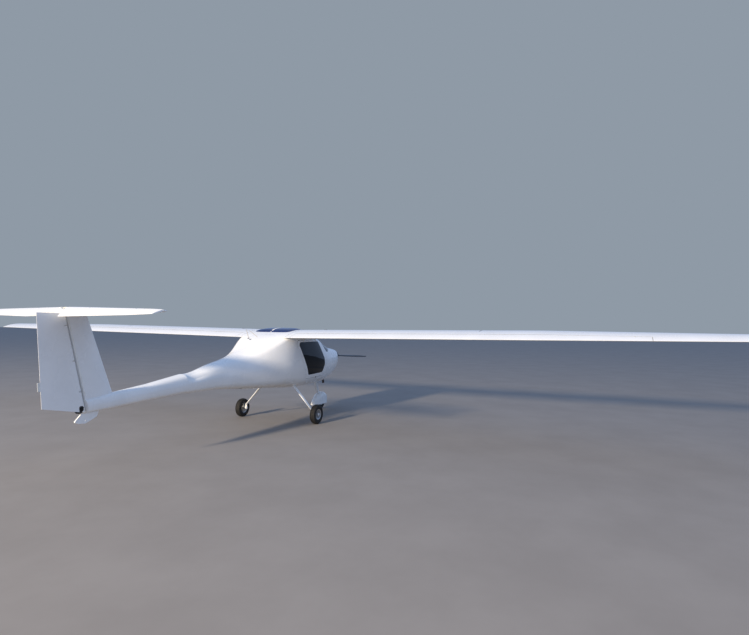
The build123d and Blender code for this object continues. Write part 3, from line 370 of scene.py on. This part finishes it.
def piece(name, corners, faces, material, body, slot, smooth_below=35):
    """A mesh piece, in metres in the aircraft's own frame, that rides on one body.

    Its edges look smooth where they bend by less than smooth_below degrees.
    """
    mesh = bpy.data.meshes.new(name)
    mesh.from_pydata([tuple(c) for c in corners], [], faces)
    mesh.materials.append(material)
    work = bmesh.new()
    work.from_mesh(mesh)
    bmesh.ops.remove_doubles(work, verts=work.verts, dist=SAME_CORNER)
    bmesh.ops.recalc_face_normals(work, faces=work.faces)
    work.to_mesh(mesh)
    work.free()
    mesh.shade_smooth()
    mesh.set_sharp_from_angle(angle=math.radians(smooth_below))
    made = bpy.data.objects.new(name, mesh)
    bpy.context.scene.collection.objects.link(made)
    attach(made, body)
    return made


def joined(parts):
    """Several lists of corners and faces as one."""
    corners, faces = [], []
    for more_corners, more_faces in parts:
        base = len(corners)
        corners += more_corners
        faces += [tuple(base + i for i in face) for face in more_faces]
    return corners, faces


def skinned(rings):
    """A closed form over a row of rings, all with as many corners."""
    sides = len(rings[0])
    corners = [corner for ring in rings for corner in ring]
    faces = []
    for i in range(len(rings) - 1):
        here, there = i * sides, (i + 1) * sides
        for j in range(sides):
            k = (j + 1) % sides
            faces.append((here + j, here + k, there + k, there + j))
    faces.append(tuple(reversed(range(sides))))
    faces.append(tuple((len(rings) - 1) * sides + j for j in range(sides)))
    return corners, faces


def ellipse(centre, out, across, sides):
    """A ring of corners round a centre, with its two half axes given."""
    turns = [2 * math.pi * j / sides for j in range(sides)]
    return [centre + out * math.cos(turn) + across * math.sin(turn) for turn in turns]


def turned(profile, centre, axis, steps):
    """A closed outline of (distance along the axle, radius), turned about the axle."""
    along = Vector(axis).normalized()
    out = along.orthogonal().normalized()
    across = along.cross(out)
    corners = []
    for i in range(steps):
        angle = 2 * math.pi * i / steps
        spoke = out * math.cos(angle) + across * math.sin(angle)
        corners += [Vector(centre) + along * a + spoke * r for a, r in profile]
    count = len(profile)
    faces = []
    for i in range(steps):
        here, there = i * count, (i + 1) % steps * count
        for j in range(count):
            k = (j + 1) % count
            faces.append((here + j, here + k, there + k, there + j))
    return corners, faces


def arc(first, middle, last, count):
    """Points along the circular arc through three points, the last one left out."""
    a, b, c = (Vector((*point, 0)) for point in (first, middle, last))
    ab, ac = b - a, c - a
    normal = ab.cross(ac)
    centre = a + (ab.length_squared * ac.cross(normal) + ac.length_squared * normal.cross(ab)) / (
        2 * normal.length_squared)
    start = a - centre
    swept = start.angle(b - centre) + (b - centre).angle(c - centre)
    turn = 1 if normal.z > 0 else -1
    points = []
    for i in range(count):
        spun = Matrix.Rotation(turn * swept * i / count, 3, "Z") @ start
        points.append((centre.x + spun.x, centre.y + spun.y))
    return points


def tube(path, radii, sides=12):
    """A round tube along straight runs, with a radius at each point, closed at both ends."""
    points = [Vector(p) for p in path]
    rings = []
    guide = None
    for i, (point, radius) in enumerate(zip(points, radii)):
        along = (points[min(i + 1, len(points) - 1)] - points[max(i - 1, 0)]).normalized()
        guide = along.orthogonal() if guide is None else guide - along * guide.dot(along)
        guide.normalize()
        rings.append(ellipse(point, guide * radius, along.cross(guide) * radius, sides))
    return skinned(rings)


def rounded_outline(points, radius, count=6):
    """A closed outline with each corner rounded, in the plane of its points."""
    corners = [Vector(p) for p in points]
    result = []
    for i, here in enumerate(corners):
        back = (corners[i - 1] - here).normalized()
        forth = (corners[(i + 1) % len(corners)] - here).normalized()
        half = back.angle(forth) / 2
        reach = radius / math.tan(half)
        start, end = here + back * reach, here + forth * reach
        for j in range(count + 1):
            t = j / count
            result.append(start * (1 - t) ** 2 + here * 2 * t * (1 - t) + end * t ** 2)
    return result


# The main wheels' axle line lies this far ahead of the frame's origin, in metres
AXLE_AHEAD = 1.1335


def at(x, y, z):
    """Millimetres counted from the main wheels' axle line, as metres in the aircraft's frame."""
    return Vector((x / 1000 + AXLE_AHEAD, y / 1000, z / 1000))


def side_form(outline, radius, y_low, y_high):
    """A closed form with a rounded outline in side view (x, z), between two sides, in millimetres."""
    ring = rounded_outline([at(x, 0, z) for x, z in outline], radius / 1000)
    return skinned([[Vector((p.x, y / 1000, p.z)) for p in ring] for y in (y_low, y_high)])


def block(low, high, bevel):
    """A box with bevelled edges between two corners, all given in millimetres."""
    a, b = at(*low), at(*high)
    work = bmesh.new()
    bmesh.ops.create_cube(work, size=1.0)
    for corner in work.verts:
        corner.co = (a + b) / 2 + Vector(corner.co[i] * (b - a)[i] for i in range(3))
    bmesh.ops.bevel(work, geom=work.edges[:], offset=bevel / 1000, segments=2, affect="EDGES")
    corners = [corner.co.copy() for corner in work.verts]
    faces = [tuple(corner.index for corner in face.verts) for face in work.faces]
    work.free()
    return corners, faces


def tree_of(*objects):
    """A search tree over some objects, to lay tapes, seals and fasteners on them."""
    corners, faces = [], []
    for thing in objects:
        base = len(corners)
        corners += [v.co.copy() for v in thing.data.vertices]
        faces += [[base + i for i in polygon.vertices] for polygon in thing.data.polygons]
    return BVHTree.FromPolygons(corners, faces)


def surface_of(*names):
    """A search tree over some of the solids."""
    return tree_of(*(CAD[name] for name in names))


def landed(surface, place, ray):
    """Where a ray that starts before a place, and runs through it, lands on the surface."""
    ray = Vector(ray).normalized()
    point, normal, _, _ = surface.ray_cast(Vector(place) - ray * RAY_START, ray)
    if point is None:
        return None, None
    if normal.dot(ray) > 0:
        normal = -normal
    return point, normal


def laid_strip(surface, path, ray, width, lift, step=0.05):
    """A thin closed strip that lies on a surface along a path, such as a tape, a seal or a panel gap."""
    points = [Vector(p) for p in path]
    dense = []
    for a, b in zip(points, points[1:]):
        count = max(1, round((b - a).length / step))
        dense += [a.lerp(b, i / count) for i in range(count)]
    dense.append(points[-1])
    ray = Vector(ray).normalized()
    rings = []
    for i, point in enumerate(dense):
        before, after = dense[max(i - 1, 0)], dense[min(i + 1, len(dense) - 1)]
        side = (after - before).cross(ray).normalized() * (width / 2)
        (a, normal_a), (b, normal_b) = (landed(surface, point + edge, ray) for edge in (-side, side))
        # Where one edge runs past the surface, the strip has no ring
        if a is not None and b is not None:
            rings.append([a + normal_a * lift, b + normal_b * lift,
                          b - normal_b * STRIP_SUNK, a - normal_a * STRIP_SUNK])
    return skinned(rings) if rings else ([], [])


def stud(surface, place, ray, radius, height, sides=16, crown=0.7):
    """A low round head on a surface, with a bevelled edge, sunk slightly into it; none past its edge."""
    hit, normal = landed(surface, place, ray)
    if hit is None:
        return [], []
    out = normal.orthogonal().normalized() * radius
    across = normal.cross(out)
    # Height above the surface, and share of the radius there
    levels = [(-HEAD_SUNK, 1.0), (height * 0.6, 1.0), (height, crown)]
    return skinned([ellipse(hit + normal * level, out * share, across * share, sides)
                    for level, share in levels])


DOWN = (0, 0, -1)
AFT = (-1, 0, 0)
INWARD = {1: (0, -1, 0), -1: (0, 1, 0)}
SIDES = (("left", 1), ("right", -1))

# Tyres, wheel bolts and valves

# Tyre: radius, half width, bead radius, bead half width, grooves (distance from the middle, half width)
MAIN_TYRE = (170, 50, 78, 32, [(10, 2.2), (24, 2.2)])
NOSE_TYRE = (142, 45, 52, 27, [(9, 2.0), (21, 2.0)])
MAIN_CENTRES = {"left": at(0, 800, 170), "right": at(0, -800, 170)}
NOSE_CENTRE = at(1505, 0, 142)
# Wheel: body, tyre's node, tyre, wheel's centre, radius of the circle of bolts
WHEELS = [("main_wheel_left", "main_tyre_left", MAIN_TYRE, MAIN_CENTRES["left"], 50),
          ("main_wheel_right", "main_tyre_right", MAIN_TYRE, MAIN_CENTRES["right"], 50),
          ("nose_wheel", "nose_tyre", NOSE_TYRE, NOSE_CENTRE, 34)]
TREAD_SHARE = 0.80
SHOULDER_DROP = 0.20
GROOVE_DEPTH = 4.0
GROOVE_LEAN = 0.6
# Two low ribs run round each wall, one near the rim and one near the shoulder, between shares of its height
WALL_RIBS = ((0.16, 0.24), (0.80, 0.86))
WALL_RIB_LIFT = 0.8
# The bolts of a rim: how many, the first one's angle, half the web's thickness in millimetres, and a head's
# radius and height in metres
BOLT_COUNT = 6
FIRST_BOLT = 15
WEB_HALF = 10
BOLT_RADIUS = 0.0055
BOLT_HEIGHT = 0.006


def tyre_outline(radius, half, bead_radius, bead_half, grooves):
    """A ribbed tyre's section, on the outline of the solid that it replaces."""
    shoulder = radius - SHOULDER_DROP * half
    edge = TREAD_SHARE * half
    middle = (bead_radius + shoulder) / 2
    tread = arc((edge, shoulder), (0, radius), (-edge, shoulder), 24)
    for distance, width in grooves:
        lip_radius = radius - SHOULDER_DROP * half * (distance / edge) ** 2
        for centre in (distance, -distance):
            tread = [(a, r) for a, r in tread if abs(a - centre) > width + GROOVE_LEAN]
            for side in (1, -1):
                lip = centre + side * width
                tread += [(lip, lip_radius), (lip - side * GROOVE_LEAN, lip_radius - GROOVE_DEPTH)]
    tread.sort(reverse=True)
    outline = arc((bead_half, bead_radius), (half, middle), (edge, shoulder), 10) + tread
    outline += arc((-edge, shoulder), (-half, middle), (-bead_half, bead_radius), 10)
    outline.append((-bead_half, bead_radius))
    section = []
    for a, r in outline:
        share = (r - bead_radius) / (shoulder - bead_radius)
        on_rib = abs(a) > bead_half and any(low < share < high for low, high in WALL_RIBS)
        lift = math.copysign(WALL_RIB_LIFT, a) if on_rib else 0.0
        section.append(((a + lift) / 1000, r / 1000))
    return section


def hex_head(centre, axis, radius, height):
    """A hexagon bolt head with its washer."""
    washer = [(0, 0.0004), (0.0012, 0.0004), (0.0012, radius * 1.25), (0, radius * 1.25)]
    head = [(0.001, 0.0004), (height, 0.0004), (height, radius * 0.85), (height * 0.85, radius),
            (0.001, radius)]
    return joined([turned(washer, centre, axis, 18), turned(head, centre, axis, 6)])


def round_axle(degrees, radius):
    """The way from a wheel's axle to a place at an angle and a radius round it, in metres."""
    return Vector((math.cos(math.radians(degrees)), 0, math.sin(math.radians(degrees)))) * radius


for body, node, tyre, centre, _ in WHEELS:
    tread = piece("ribbed_" + node, *turned(tyre_outline(*tyre), centre, (0, 1, 0), 96), TYRE, body,
                  "tyre_black", 40)
    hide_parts(node)
for body, _, _, centre, circle in WHEELS:
    heads = []
    for side in (1, -1):
        for i in range(BOLT_COUNT):
            spot = centre + round_axle(360 / BOLT_COUNT * i + FIRST_BOLT, circle / 1000)
            spot += Vector((0, side * WEB_HALF / 1000, 0))
            heads.append(hex_head(spot, (0, side, 0), BOLT_RADIUS, BOLT_HEIGHT))
    piece("rim_bolts_" + body, *joined(heads), BOLT_STEEL, body, "alloy", 20)
    root = centre + Vector((0, 0.012, (circle + 14) / 1000))
    stem = [root, root + Vector((0, 0.018, 0.001)), root + Vector((0, 0.026, 0.001))]
    piece("valve_" + body, *tube(stem, (0.0035, 0.0035, 0.0028)), SEAL, body, "tyre_black")

# Seats with their piping and harness

SIMULATED_FRAMES = 20
COVER_GRID = 0.0065
COVER_PRESSURE = 4
COVER_SWELL = 0.010
# Side views (x, z) of the two cushions of a seat, a little inside the solid that they fill once blown up
SQUAB = [(-178, 768), (268, 768), (268, 838), (-160, 820)]
BACK = [(-172, 838), (-434, 1302), (-500, 1268), (-268, 812)]
CUSHION_ROUNDING = 24
CUSHION_SIDES = (36, 424)
# Square to the front of the back cushion
INTO_BACK = (-0.8725, 0, -0.4887)
SEAT_MIDDLE = 230
# Seams of a cushion, seen from the side (x, z): the run of the two along it, the place of the one across it,
# and the way that a ray lands on it
SEAMS = [([(-130, 840), (230, 850)], (60, 850), DOWN),
         ([(-195, 880), (-415, 1275)], (-300, 1070), INTO_BACK)]
SEAM_SIDES = (120, 340)
SEAM_WIDTH = 0.006
SEAM_LIFT = 0.0022
# Belts: the shoulder belts run from top to bottom and draw together, and the lap belt runs across
BELT_SIDES = (165, 295)
BELT_TOP = (-432, 1300)
BELT_FOOT = (-200, 890)
LAP_BELT = [(-90, 45, 845), (-60, 415, 845)]
BELT_WIDTH = 0.044
BELT_LIFT = 0.0035
BELT_STEP = 0.02
BUCKLE_HALF = 28


def worked_out(thing):
    """The mesh of an object with its modifiers applied."""
    return bpy.data.meshes.new_from_object(thing.evaluated_get(bpy.context.evaluated_depsgraph_get()))


def stuffed(outline):
    """A cushion's sewn cover, blown up by a cloth simulation by no more than COVER_SWELL."""
    corners, faces = side_form(outline, CUSHION_ROUNDING, *CUSHION_SIDES)
    mesh = bpy.data.meshes.new("cover")
    mesh.from_pydata([tuple(c) for c in corners], [], faces)
    cover = bpy.data.objects.new("cover", mesh)
    bpy.context.scene.collection.objects.link(cover)
    even = cover.modifiers.new("even_faces", "REMESH")
    even.mode = "VOXEL"
    even.voxel_size = COVER_GRID
    sewn = worked_out(cover)
    cover.modifiers.clear()
    cover.data = sewn
    cloth = cover.modifiers.new("cover_cloth", "CLOTH")
    cloth.settings.use_pressure = True
    cloth.settings.uniform_pressure_force = COVER_PRESSURE
    cloth.settings.effector_weights.gravity = 0
    for frame_number in range(1, SIMULATED_FRAMES + 1):
        bpy.context.scene.frame_set(frame_number)
    blown = worked_out(cover)
    cover.modifiers.clear()
    bpy.context.scene.frame_set(1)
    for before, after in zip(sewn.vertices, blown.vertices):
        moved = after.co - before.co
        if moved.length > COVER_SWELL:
            moved *= COVER_SWELL / moved.length
        before.co = before.co + moved
    fine = cover.modifiers.new("fine_faces", "SUBSURF")
    fine.levels = 1
    rounded = worked_out(cover)
    corners = [v.co.copy() for v in rounded.vertices]
    faces = [tuple(polygon.vertices) for polygon in rounded.polygons]
    bpy.data.objects.remove(cover)
    return corners, faces


def on_side(form, side):
    """A form of the left seat, or its mirror image for the right one."""
    corners, faces = form
    if side > 0:
        return [c.copy() for c in corners], list(faces)
    return [Vector((c.x, -c.y, c.z)) for c in corners], [tuple(reversed(face)) for face in faces]


cushions = [stuffed(SQUAB), stuffed(BACK)]
for side_name, side in SIDES:
    seat = piece("seat_cushions_" + side_name, *joined([on_side(cushion, side) for cushion in cushions]),
                 SEAT_CLOTH, "airframe", "seat_cloth", 60)
    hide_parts("seat_" + side_name)
    padding = tree_of(seat)
    lines = [([at(x, side * y, z) for x, z in run], ray) for y in SEAM_SIDES for run, _, ray in SEAMS]
    lines += [([at(x, side * y, z) for y in SEAM_SIDES], ray) for _, (x, z), ray in SEAMS]
    seams = [laid_strip(padding, line, ray, SEAM_WIDTH, SEAM_LIFT) for line, ray in lines]
    piece("seat_piping_" + side_name, *joined(seams), PIPING, "airframe", "seat_cloth")
    belts = []
    for y in BELT_SIDES:
        top = at(BELT_TOP[0], side * y, BELT_TOP[1])
        foot = at(BELT_FOOT[0], side * (y + SEAT_MIDDLE) / 2, BELT_FOOT[1])
        belts.append(laid_strip(padding, [top, foot], INTO_BACK, BELT_WIDTH, BELT_LIFT, BELT_STEP))
    lap = [at(x, side * y, z) for x, y, z in LAP_BELT]
    belts.append(laid_strip(padding, lap, DOWN, BELT_WIDTH, BELT_LIFT, BELT_STEP))
    piece("harness_" + side_name, *joined(belts), WEBBING, "airframe", "seat_cloth")
    middle = side * SEAT_MIDDLE
    buckle = block((-100, middle - BUCKLE_HALF, 838), (-50, middle + BUCKLE_HALF, 856), bevel=4)
    piece("harness_buckle_" + side_name, *buckle, BOLT_STEEL, "airframe", "alloy")

# Instruments, throttle lever and stick boots

# Instrument: y, z, radius, the way its pointer shows in degrees
DIALS = [(330, 1232, 38, 40), (235, 1232, 38, 150), (330, 1142, 38, 220), (235, 1142, 38, 300),
         (150, 1190, 28, 90), (-235, 1225, 28, 200), (-305, 1225, 28, 130), (-235, 1155, 28, 60),
         (-305, 1155, 28, 20)]
PANEL_FACE = 830
# A pointer reaches over this share of its dial's radius, and stands off the panel by this much
POINTER_REACH = 0.7
POINTER_OFF = Vector((-0.0022, 0, 0))
RADIO_HEIGHTS = (1245, 1195, 1145)
# A radio's case and window: front and back from the panel's face, half width, half height, bevel
RADIO_CASE = (-8, 2, 72, 20, 3)
RADIO_WINDOW = (-9.5, -6, 58, 13, 1)
SWITCHES = 8
SWITCH_HALF_ROW = 90
SWITCH_HEIGHT = 1065
# Fold of a stick's boot: x, z, radius
STICK_FOLDS = [(431, 660, 40), (430, 668, 38), (430, 674, 31), (429, 682, 33), (429, 690, 26),
               (428, 698, 28), (427, 706, 21), (426, 716, 22), (425, 726, 13.5)]


def radio_part(measures, height):
    """A bevelled block in the middle of the panel, at a height."""
    front, back, half_width, half_height, bevel = measures
    return block((PANEL_FACE + front, -half_width, height - half_height),
                 (PANEL_FACE + back, half_width, height + half_height), bevel)


bezels, dial_faces, pointers = [], [], []
for y, z, radius, degrees in DIALS:
    spot, r = at(PANEL_FACE, y, z), radius / 1000
    bezel = [(-0.001, r), (0.006, r), (0.006, r - 0.004), (0.002, r - 0.007), (-0.001, r - 0.007)]
    face = [(-0.001, 0.0004), (0.0015, 0.0004), (0.0015, r - 0.0065), (-0.001, r - 0.0065)]
    bezels.append(turned(bezel, spot, AFT, 40))
    dial_faces.append(turned(face, spot, AFT, 40))
    way = Vector((0, math.cos(math.radians(degrees)), math.sin(math.radians(degrees))))
    foot = spot + POINTER_OFF
    pointers.append(tube([foot, foot + way * (r * POINTER_REACH)], (0.0016, 0.0008), 6))
for z in RADIO_HEIGHTS:
    bezels.append(radio_part(RADIO_CASE, z))
    dial_faces.append(radio_part(RADIO_WINDOW, z))
for i in range(SWITCHES):
    spot = at(PANEL_FACE - 1, SWITCH_HALF_ROW * (2 * i / (SWITCHES - 1) - 1), SWITCH_HEIGHT)
    bezels.append(tube([spot, spot + Vector((-0.012, 0, 0.004))], (0.0045, 0.003), 10))
piece("instrument_bezels", *joined(bezels), BLACK_STEEL, "airframe", "panel_black", 30)
piece("instrument_faces", *joined(dial_faces), DIAL_BLACK, "airframe", "panel_black", 30)
piece("instrument_pointers", *joined(pointers), POINTER_WHITE, "airframe", "panel_black", 30)
lever = [tube([at(520, 0, 780), at(505, 0, 880)], (0.005, 0.005)),
         tube([at(506, 0, 874), at(505, 0, 880), at(503, 0, 904), at(502, 0, 911)],
              (0.008, 0.015, 0.015, 0.009), 20)]
piece("throttle_lever", *joined(lever), BLACK_STEEL, "airframe", "control_black")
boots = []
for _, side in SIDES:
    folds = [at(x, side * SEAT_MIDDLE, z) for x, z, _ in STICK_FOLDS]
    boots.append(tube(folds, [radius / 1000 for _, _, radius in STICK_FOLDS], 28))
piece("stick_boots", *joined(boots), SEAL, "airframe", "control_black", 20)

# Brake discs that turn with the main wheels, and calipers on the legs

DISC = [(-0.048, 0.026), (-0.044, 0.026), (-0.044, 0.075), (-0.048, 0.075)]
DISC_FEET = 3
FIRST_FOOT = 30
FOOT_CIRCLE = 0.030
FOOT_RADIUS = 0.004
# Where a foot starts and ends, inward from the wheel's middle
FOOT_ENDS = (0.0445, 0.036)
# Caliper's block: near and far side from the centre line, its corners (x, z), bevel
CALIPER_BLOCKS = [((732, 749.5), (-92, 146), (-50, 194), 4), ((722, 738), (-60, 160), (4, 180), 3)]

for side_name, side in SIDES:
    centre = MAIN_CENTRES[side_name]
    disc = [turned(DISC, centre, (0, side, 0), 72)]
    for i in range(DISC_FEET):
        foot = centre + round_axle(360 / DISC_FEET * i + FIRST_FOOT, FOOT_CIRCLE)
        ends = [foot - Vector((0, side * end, 0)) for end in FOOT_ENDS]
        disc.append(tube(ends, (FOOT_RADIUS, FOOT_RADIUS)))
    piece("brake_disc_" + side_name, *joined(disc), BOLT_STEEL, "main_wheel_" + side_name, "alloy", 30)
    caliper = []
    for reach, (x_low, z_low), (x_high, z_high), bevel in CALIPER_BLOCKS:
        near, far = sorted(side * y for y in reach)
        caliper.append(block((x_low, near, z_low), (x_high, far, z_high), bevel))
    piece("brake_caliper_" + side_name, *joined(caliper), ENGINE_PAINT, "airframe", "leg_steel", 30)

# Tail: a rubber boot round the rudder's foot, a trim tab, and tapes along the rudder's hinge line

# Fold of the rudder's boot: x, z, half length, half width
RUDDER_FOLDS = [(-3958, 700, 22, 30), (-3954, 712, 36, 46), (-3952, 720, 31, 43), (-3950, 730, 42, 53),
                (-3949, 738, 37, 49), (-3948, 748, 47, 55), (-3948, 757, 41, 50), (-3949, 767, 46, 55),
                (-3950, 776, 40, 49), (-3952, 786, 36, 46)]
RUDDER_FOLD_SIDES = 40
TAB_OUTLINE = [(-4380, 996), (-4380, 1090), (-4438, 1090), (-4431, 996)]
TAB_ROUNDING = 4
TAB_HALF = 1.2
# The hinge line starts at this x and z, and leans aft by this much for each millimetre up
HINGE_FOOT = (-3926, 774)
HINGE_LEAN = 0.2472
# The tapes run this far ahead of it, through these heights, and are looked for this far from the middle
TAPE_AHEAD = 50
TAPE_HEIGHTS = (800, 1300, 1790)
TAPE_SIDE = 10

rings = []
for x, z, half_length, half_width in RUDDER_FOLDS:
    along, across = Vector((half_length / 1000, 0, 0)), Vector((0, half_width / 1000, 0))
    rings.append(ellipse(at(x, 0, z), along, across, RUDDER_FOLD_SIDES))
piece("rudder_boot", *skinned(rings), SEAL, "rudder", "tyre_black", 25)
tab = side_form(TAB_OUTLINE, TAB_ROUNDING, -TAB_HALF, TAB_HALF)
piece("rudder_trim_tab", *tab, TAPE, "rudder", "airframe_white", 30)
fin_surface = surface_of("fin")
tapes = []
for _, side in SIDES:
    line = [at(HINGE_FOOT[0] - HINGE_LEAN * (z - HINGE_FOOT[1]) + TAPE_AHEAD, side * TAPE_SIDE, z)
            for z in TAPE_HEIGHTS]
    tapes.append(laid_strip(fin_surface, line, INWARD[side], width=0.014, lift=0.0008))
piece("rudder_hinge_tapes", *joined(tapes), TAPE, "airframe", "airframe_white", 30)

# Wing joints, the roof pane's bubble with the member across it, and fuel caps

# A wing's root joint and the joint of its outer panel, from the centre line
ROOT_JOINT = 460
PANEL_JOINT = 3690
FUEL_CAP_SIDE = 900
# The bubble's half length and half width in millimetres, its faces each way, and how square its outline is
BUBBLE_X = 262
BUBBLE_Y = 376
BUBBLE_COLUMNS = 32
BUBBLE_ROWS = 44
SQUARENESS = 7
# Its rise in the middle and at its edge, and how deep the sheet under it lies, in metres
BUBBLE_RISE = 0.032
BUBBLE_EDGE_RISE = 0.0008
BUBBLE_SUNK = 0.0006

wing_surface = surface_of("wing_left", "wing_right", "wing_centre", "skylight")


def roof_bubble():
    """A shallow blown bubble over the flat pane that carries it, closed by a sheet under it."""
    corners, faces = [], []
    for under in (False, True):
        for i in range(BUBBLE_COLUMNS + 1):
            for j in range(BUBBLE_ROWS + 1):
                u, v = 2 * i / BUBBLE_COLUMNS - 1, 2 * j / BUBBLE_ROWS - 1
                # Drawn in from a square to a rounded rectangle
                far = max(abs(u), abs(v))
                round_far = (abs(u) ** SQUARENESS + abs(v) ** SQUARENESS) ** (1 / SQUARENESS)
                draw = far / round_far if far else 1.0
                hit, _ = landed(wing_surface, at(BUBBLE_X * u * draw, BUBBLE_Y * v * draw, 1650), DOWN)
                # Flat in the middle and steep at the edge, as a sheet blown through a frame is
                rise = BUBBLE_RISE * (1 - far ** 4) ** 0.8 + BUBBLE_EDGE_RISE
                corners.append(hit + Vector((0, 0, -BUBBLE_SUNK if under else rise)))
    row, sheet = BUBBLE_ROWS + 1, (BUBBLE_ROWS + 1) * (BUBBLE_COLUMNS + 1)
    for i in range(BUBBLE_COLUMNS):
        for j in range(BUBBLE_ROWS):
            a = i * row + j
            faces.append((a, a + 1, a + row + 1, a + row))
            faces.append((sheet + a + row, sheet + a + row + 1, sheet + a + 1, sheet + a))
    last = BUBBLE_COLUMNS * row
    rim = list(range(row)) + [i * row + row - 1 for i in range(1, BUBBLE_COLUMNS + 1)]
    rim += [last + j for j in range(row - 2, -1, -1)] + [i * row for i in range(BUBBLE_COLUMNS - 1, 0, -1)]
    for a, b in zip(rim, rim[1:] + rim[:1]):
        faces.append((a, sheet + a, sheet + b, b))
    return corners, faces


joints = []
for _, side in SIDES:
    root_joint = [at(-505, side * ROOT_JOINT, 1600), at(382, side * ROOT_JOINT, 1600)]
    panel_joint = [at(-120, side * PANEL_JOINT, 1700), at(300, side * PANEL_JOINT, 1700)]
    joints.append(laid_strip(wing_surface, root_joint, DOWN, width=0.004, lift=0.0004))
    joints.append(laid_strip(wing_surface, panel_joint, DOWN, width=0.012, lift=0.0006))
piece("wing_joint_lines", *joined(joints), SEAM_DARK, "airframe", "tyre_black", 30)
bubble = piece("roof_pane_bubble", *roof_bubble(), ROOF_PANE, "airframe", "roof_tint", 30)
member_line = [at(-258, 0, 1600), at(258, 0, 1600)]
member = laid_strip(tree_of(bubble), member_line, DOWN, width=0.030, lift=0.0016)
piece("roof_pane_member", *member, TAPE, "airframe", "airframe_white", 30)
caps = []
for _, side in SIDES:
    place = at(120, side * FUEL_CAP_SIDE, 1650)
    caps.append(stud(wing_surface, place, DOWN, radius=0.032, height=0.004, sides=32, crown=0.86))
piece("fuel_caps", *joined(caps), BLACK_STEEL, "airframe", "alloy", 30)

# Vents and cable channels of the body, and fasteners of the cowling and the spinner

FASTENER_RADIUS = 0.0065
FASTENER_HEIGHT = 0.0014
# The rows of fasteners: where the cowling's side and top are looked for, the two rows beside its split, and
# the row round its rear edge
COWL_SIDE = 300
COWL_TOP = 1300
SPLIT_ROWS = (1022, 1058)
COWL_REAR_EDGE = 1166
SPINNER_SCREWS = 10
SPINNER_MIDDLE = at(1979, 0, 1085)
SPINNER_RADIUS = 0.12
SIDE_VENT = at(423, -500, 773)
ROOF_VENTS = [at(-600, 225, 1480), at(-650, 150, 1480)]

fastener_places = []
for _, side in SIDES:
    for x in range(1210, 1880, 95):
        fastener_places += [(at(x, side * COWL_SIDE, z), INWARD[side]) for z in SPLIT_ROWS]
    for z in range(740, 1260, 86):
        fastener_places.append((at(COWL_REAR_EDGE, side * COWL_SIDE, z), INWARD[side]))
fastener_places += [(at(COWL_REAR_EDGE, y, COWL_TOP), DOWN) for y in range(-280, 281, 112)]

body_surface = surface_of("fuselage_shell")
# The vents are openings in the body, each drawn as a black disc in the seal rubber finish laid on it: its
# black is painted shade inside the opening.
vents = [stud(body_surface, SIDE_VENT, INWARD[-1], radius=0.014, height=0.0012, sides=24, crown=0.9)]
for place in ROOF_VENTS:
    vents.append(stud(body_surface, place, DOWN, radius=0.020, height=0.0015, sides=28, crown=0.9))
piece("vent_openings_painted_shade", *joined(vents), SEAL, "airframe", "tyre_black", 30)
# Two covered cable channels run from the left wing's top to the vents behind the roof
roof_surface = surface_of("wing_left", "wing_centre", "fuselage_shell")
channel_lines = [[at(-60, 700, 1620), at(-585, 240, 1500)], [at(-150, 575, 1620), at(-560, 70, 1500)]]
channels = [laid_strip(roof_surface, line, DOWN, width=0.009, lift=0.0010) for line in channel_lines]
piece("roof_cable_channels", *joined(channels), CHANNEL, "airframe", "airframe_white", 30)
cowl_surface = surface_of("cowling_upper", "cowling_lower")
heads = [stud(cowl_surface, place, ray, FASTENER_RADIUS, FASTENER_HEIGHT) for place, ray in fastener_places]
piece("cowling_fasteners", *joined(heads), BOLT_STEEL, "airframe", "alloy", 25)
spinner_surface = surface_of("spinner")
screws = []
for i in range(SPINNER_SCREWS):
    angle = 2 * math.pi * (i + 0.5) / SPINNER_SCREWS
    out = Vector((0, math.cos(angle), math.sin(angle)))
    place = SPINNER_MIDDLE + out * SPINNER_RADIUS
    screws.append(stud(spinner_surface, place, -out, radius=0.005, height=0.0012))
piece("spinner_screws", *joined(screws), BOLT_STEEL, "propeller", "alloy", 25)
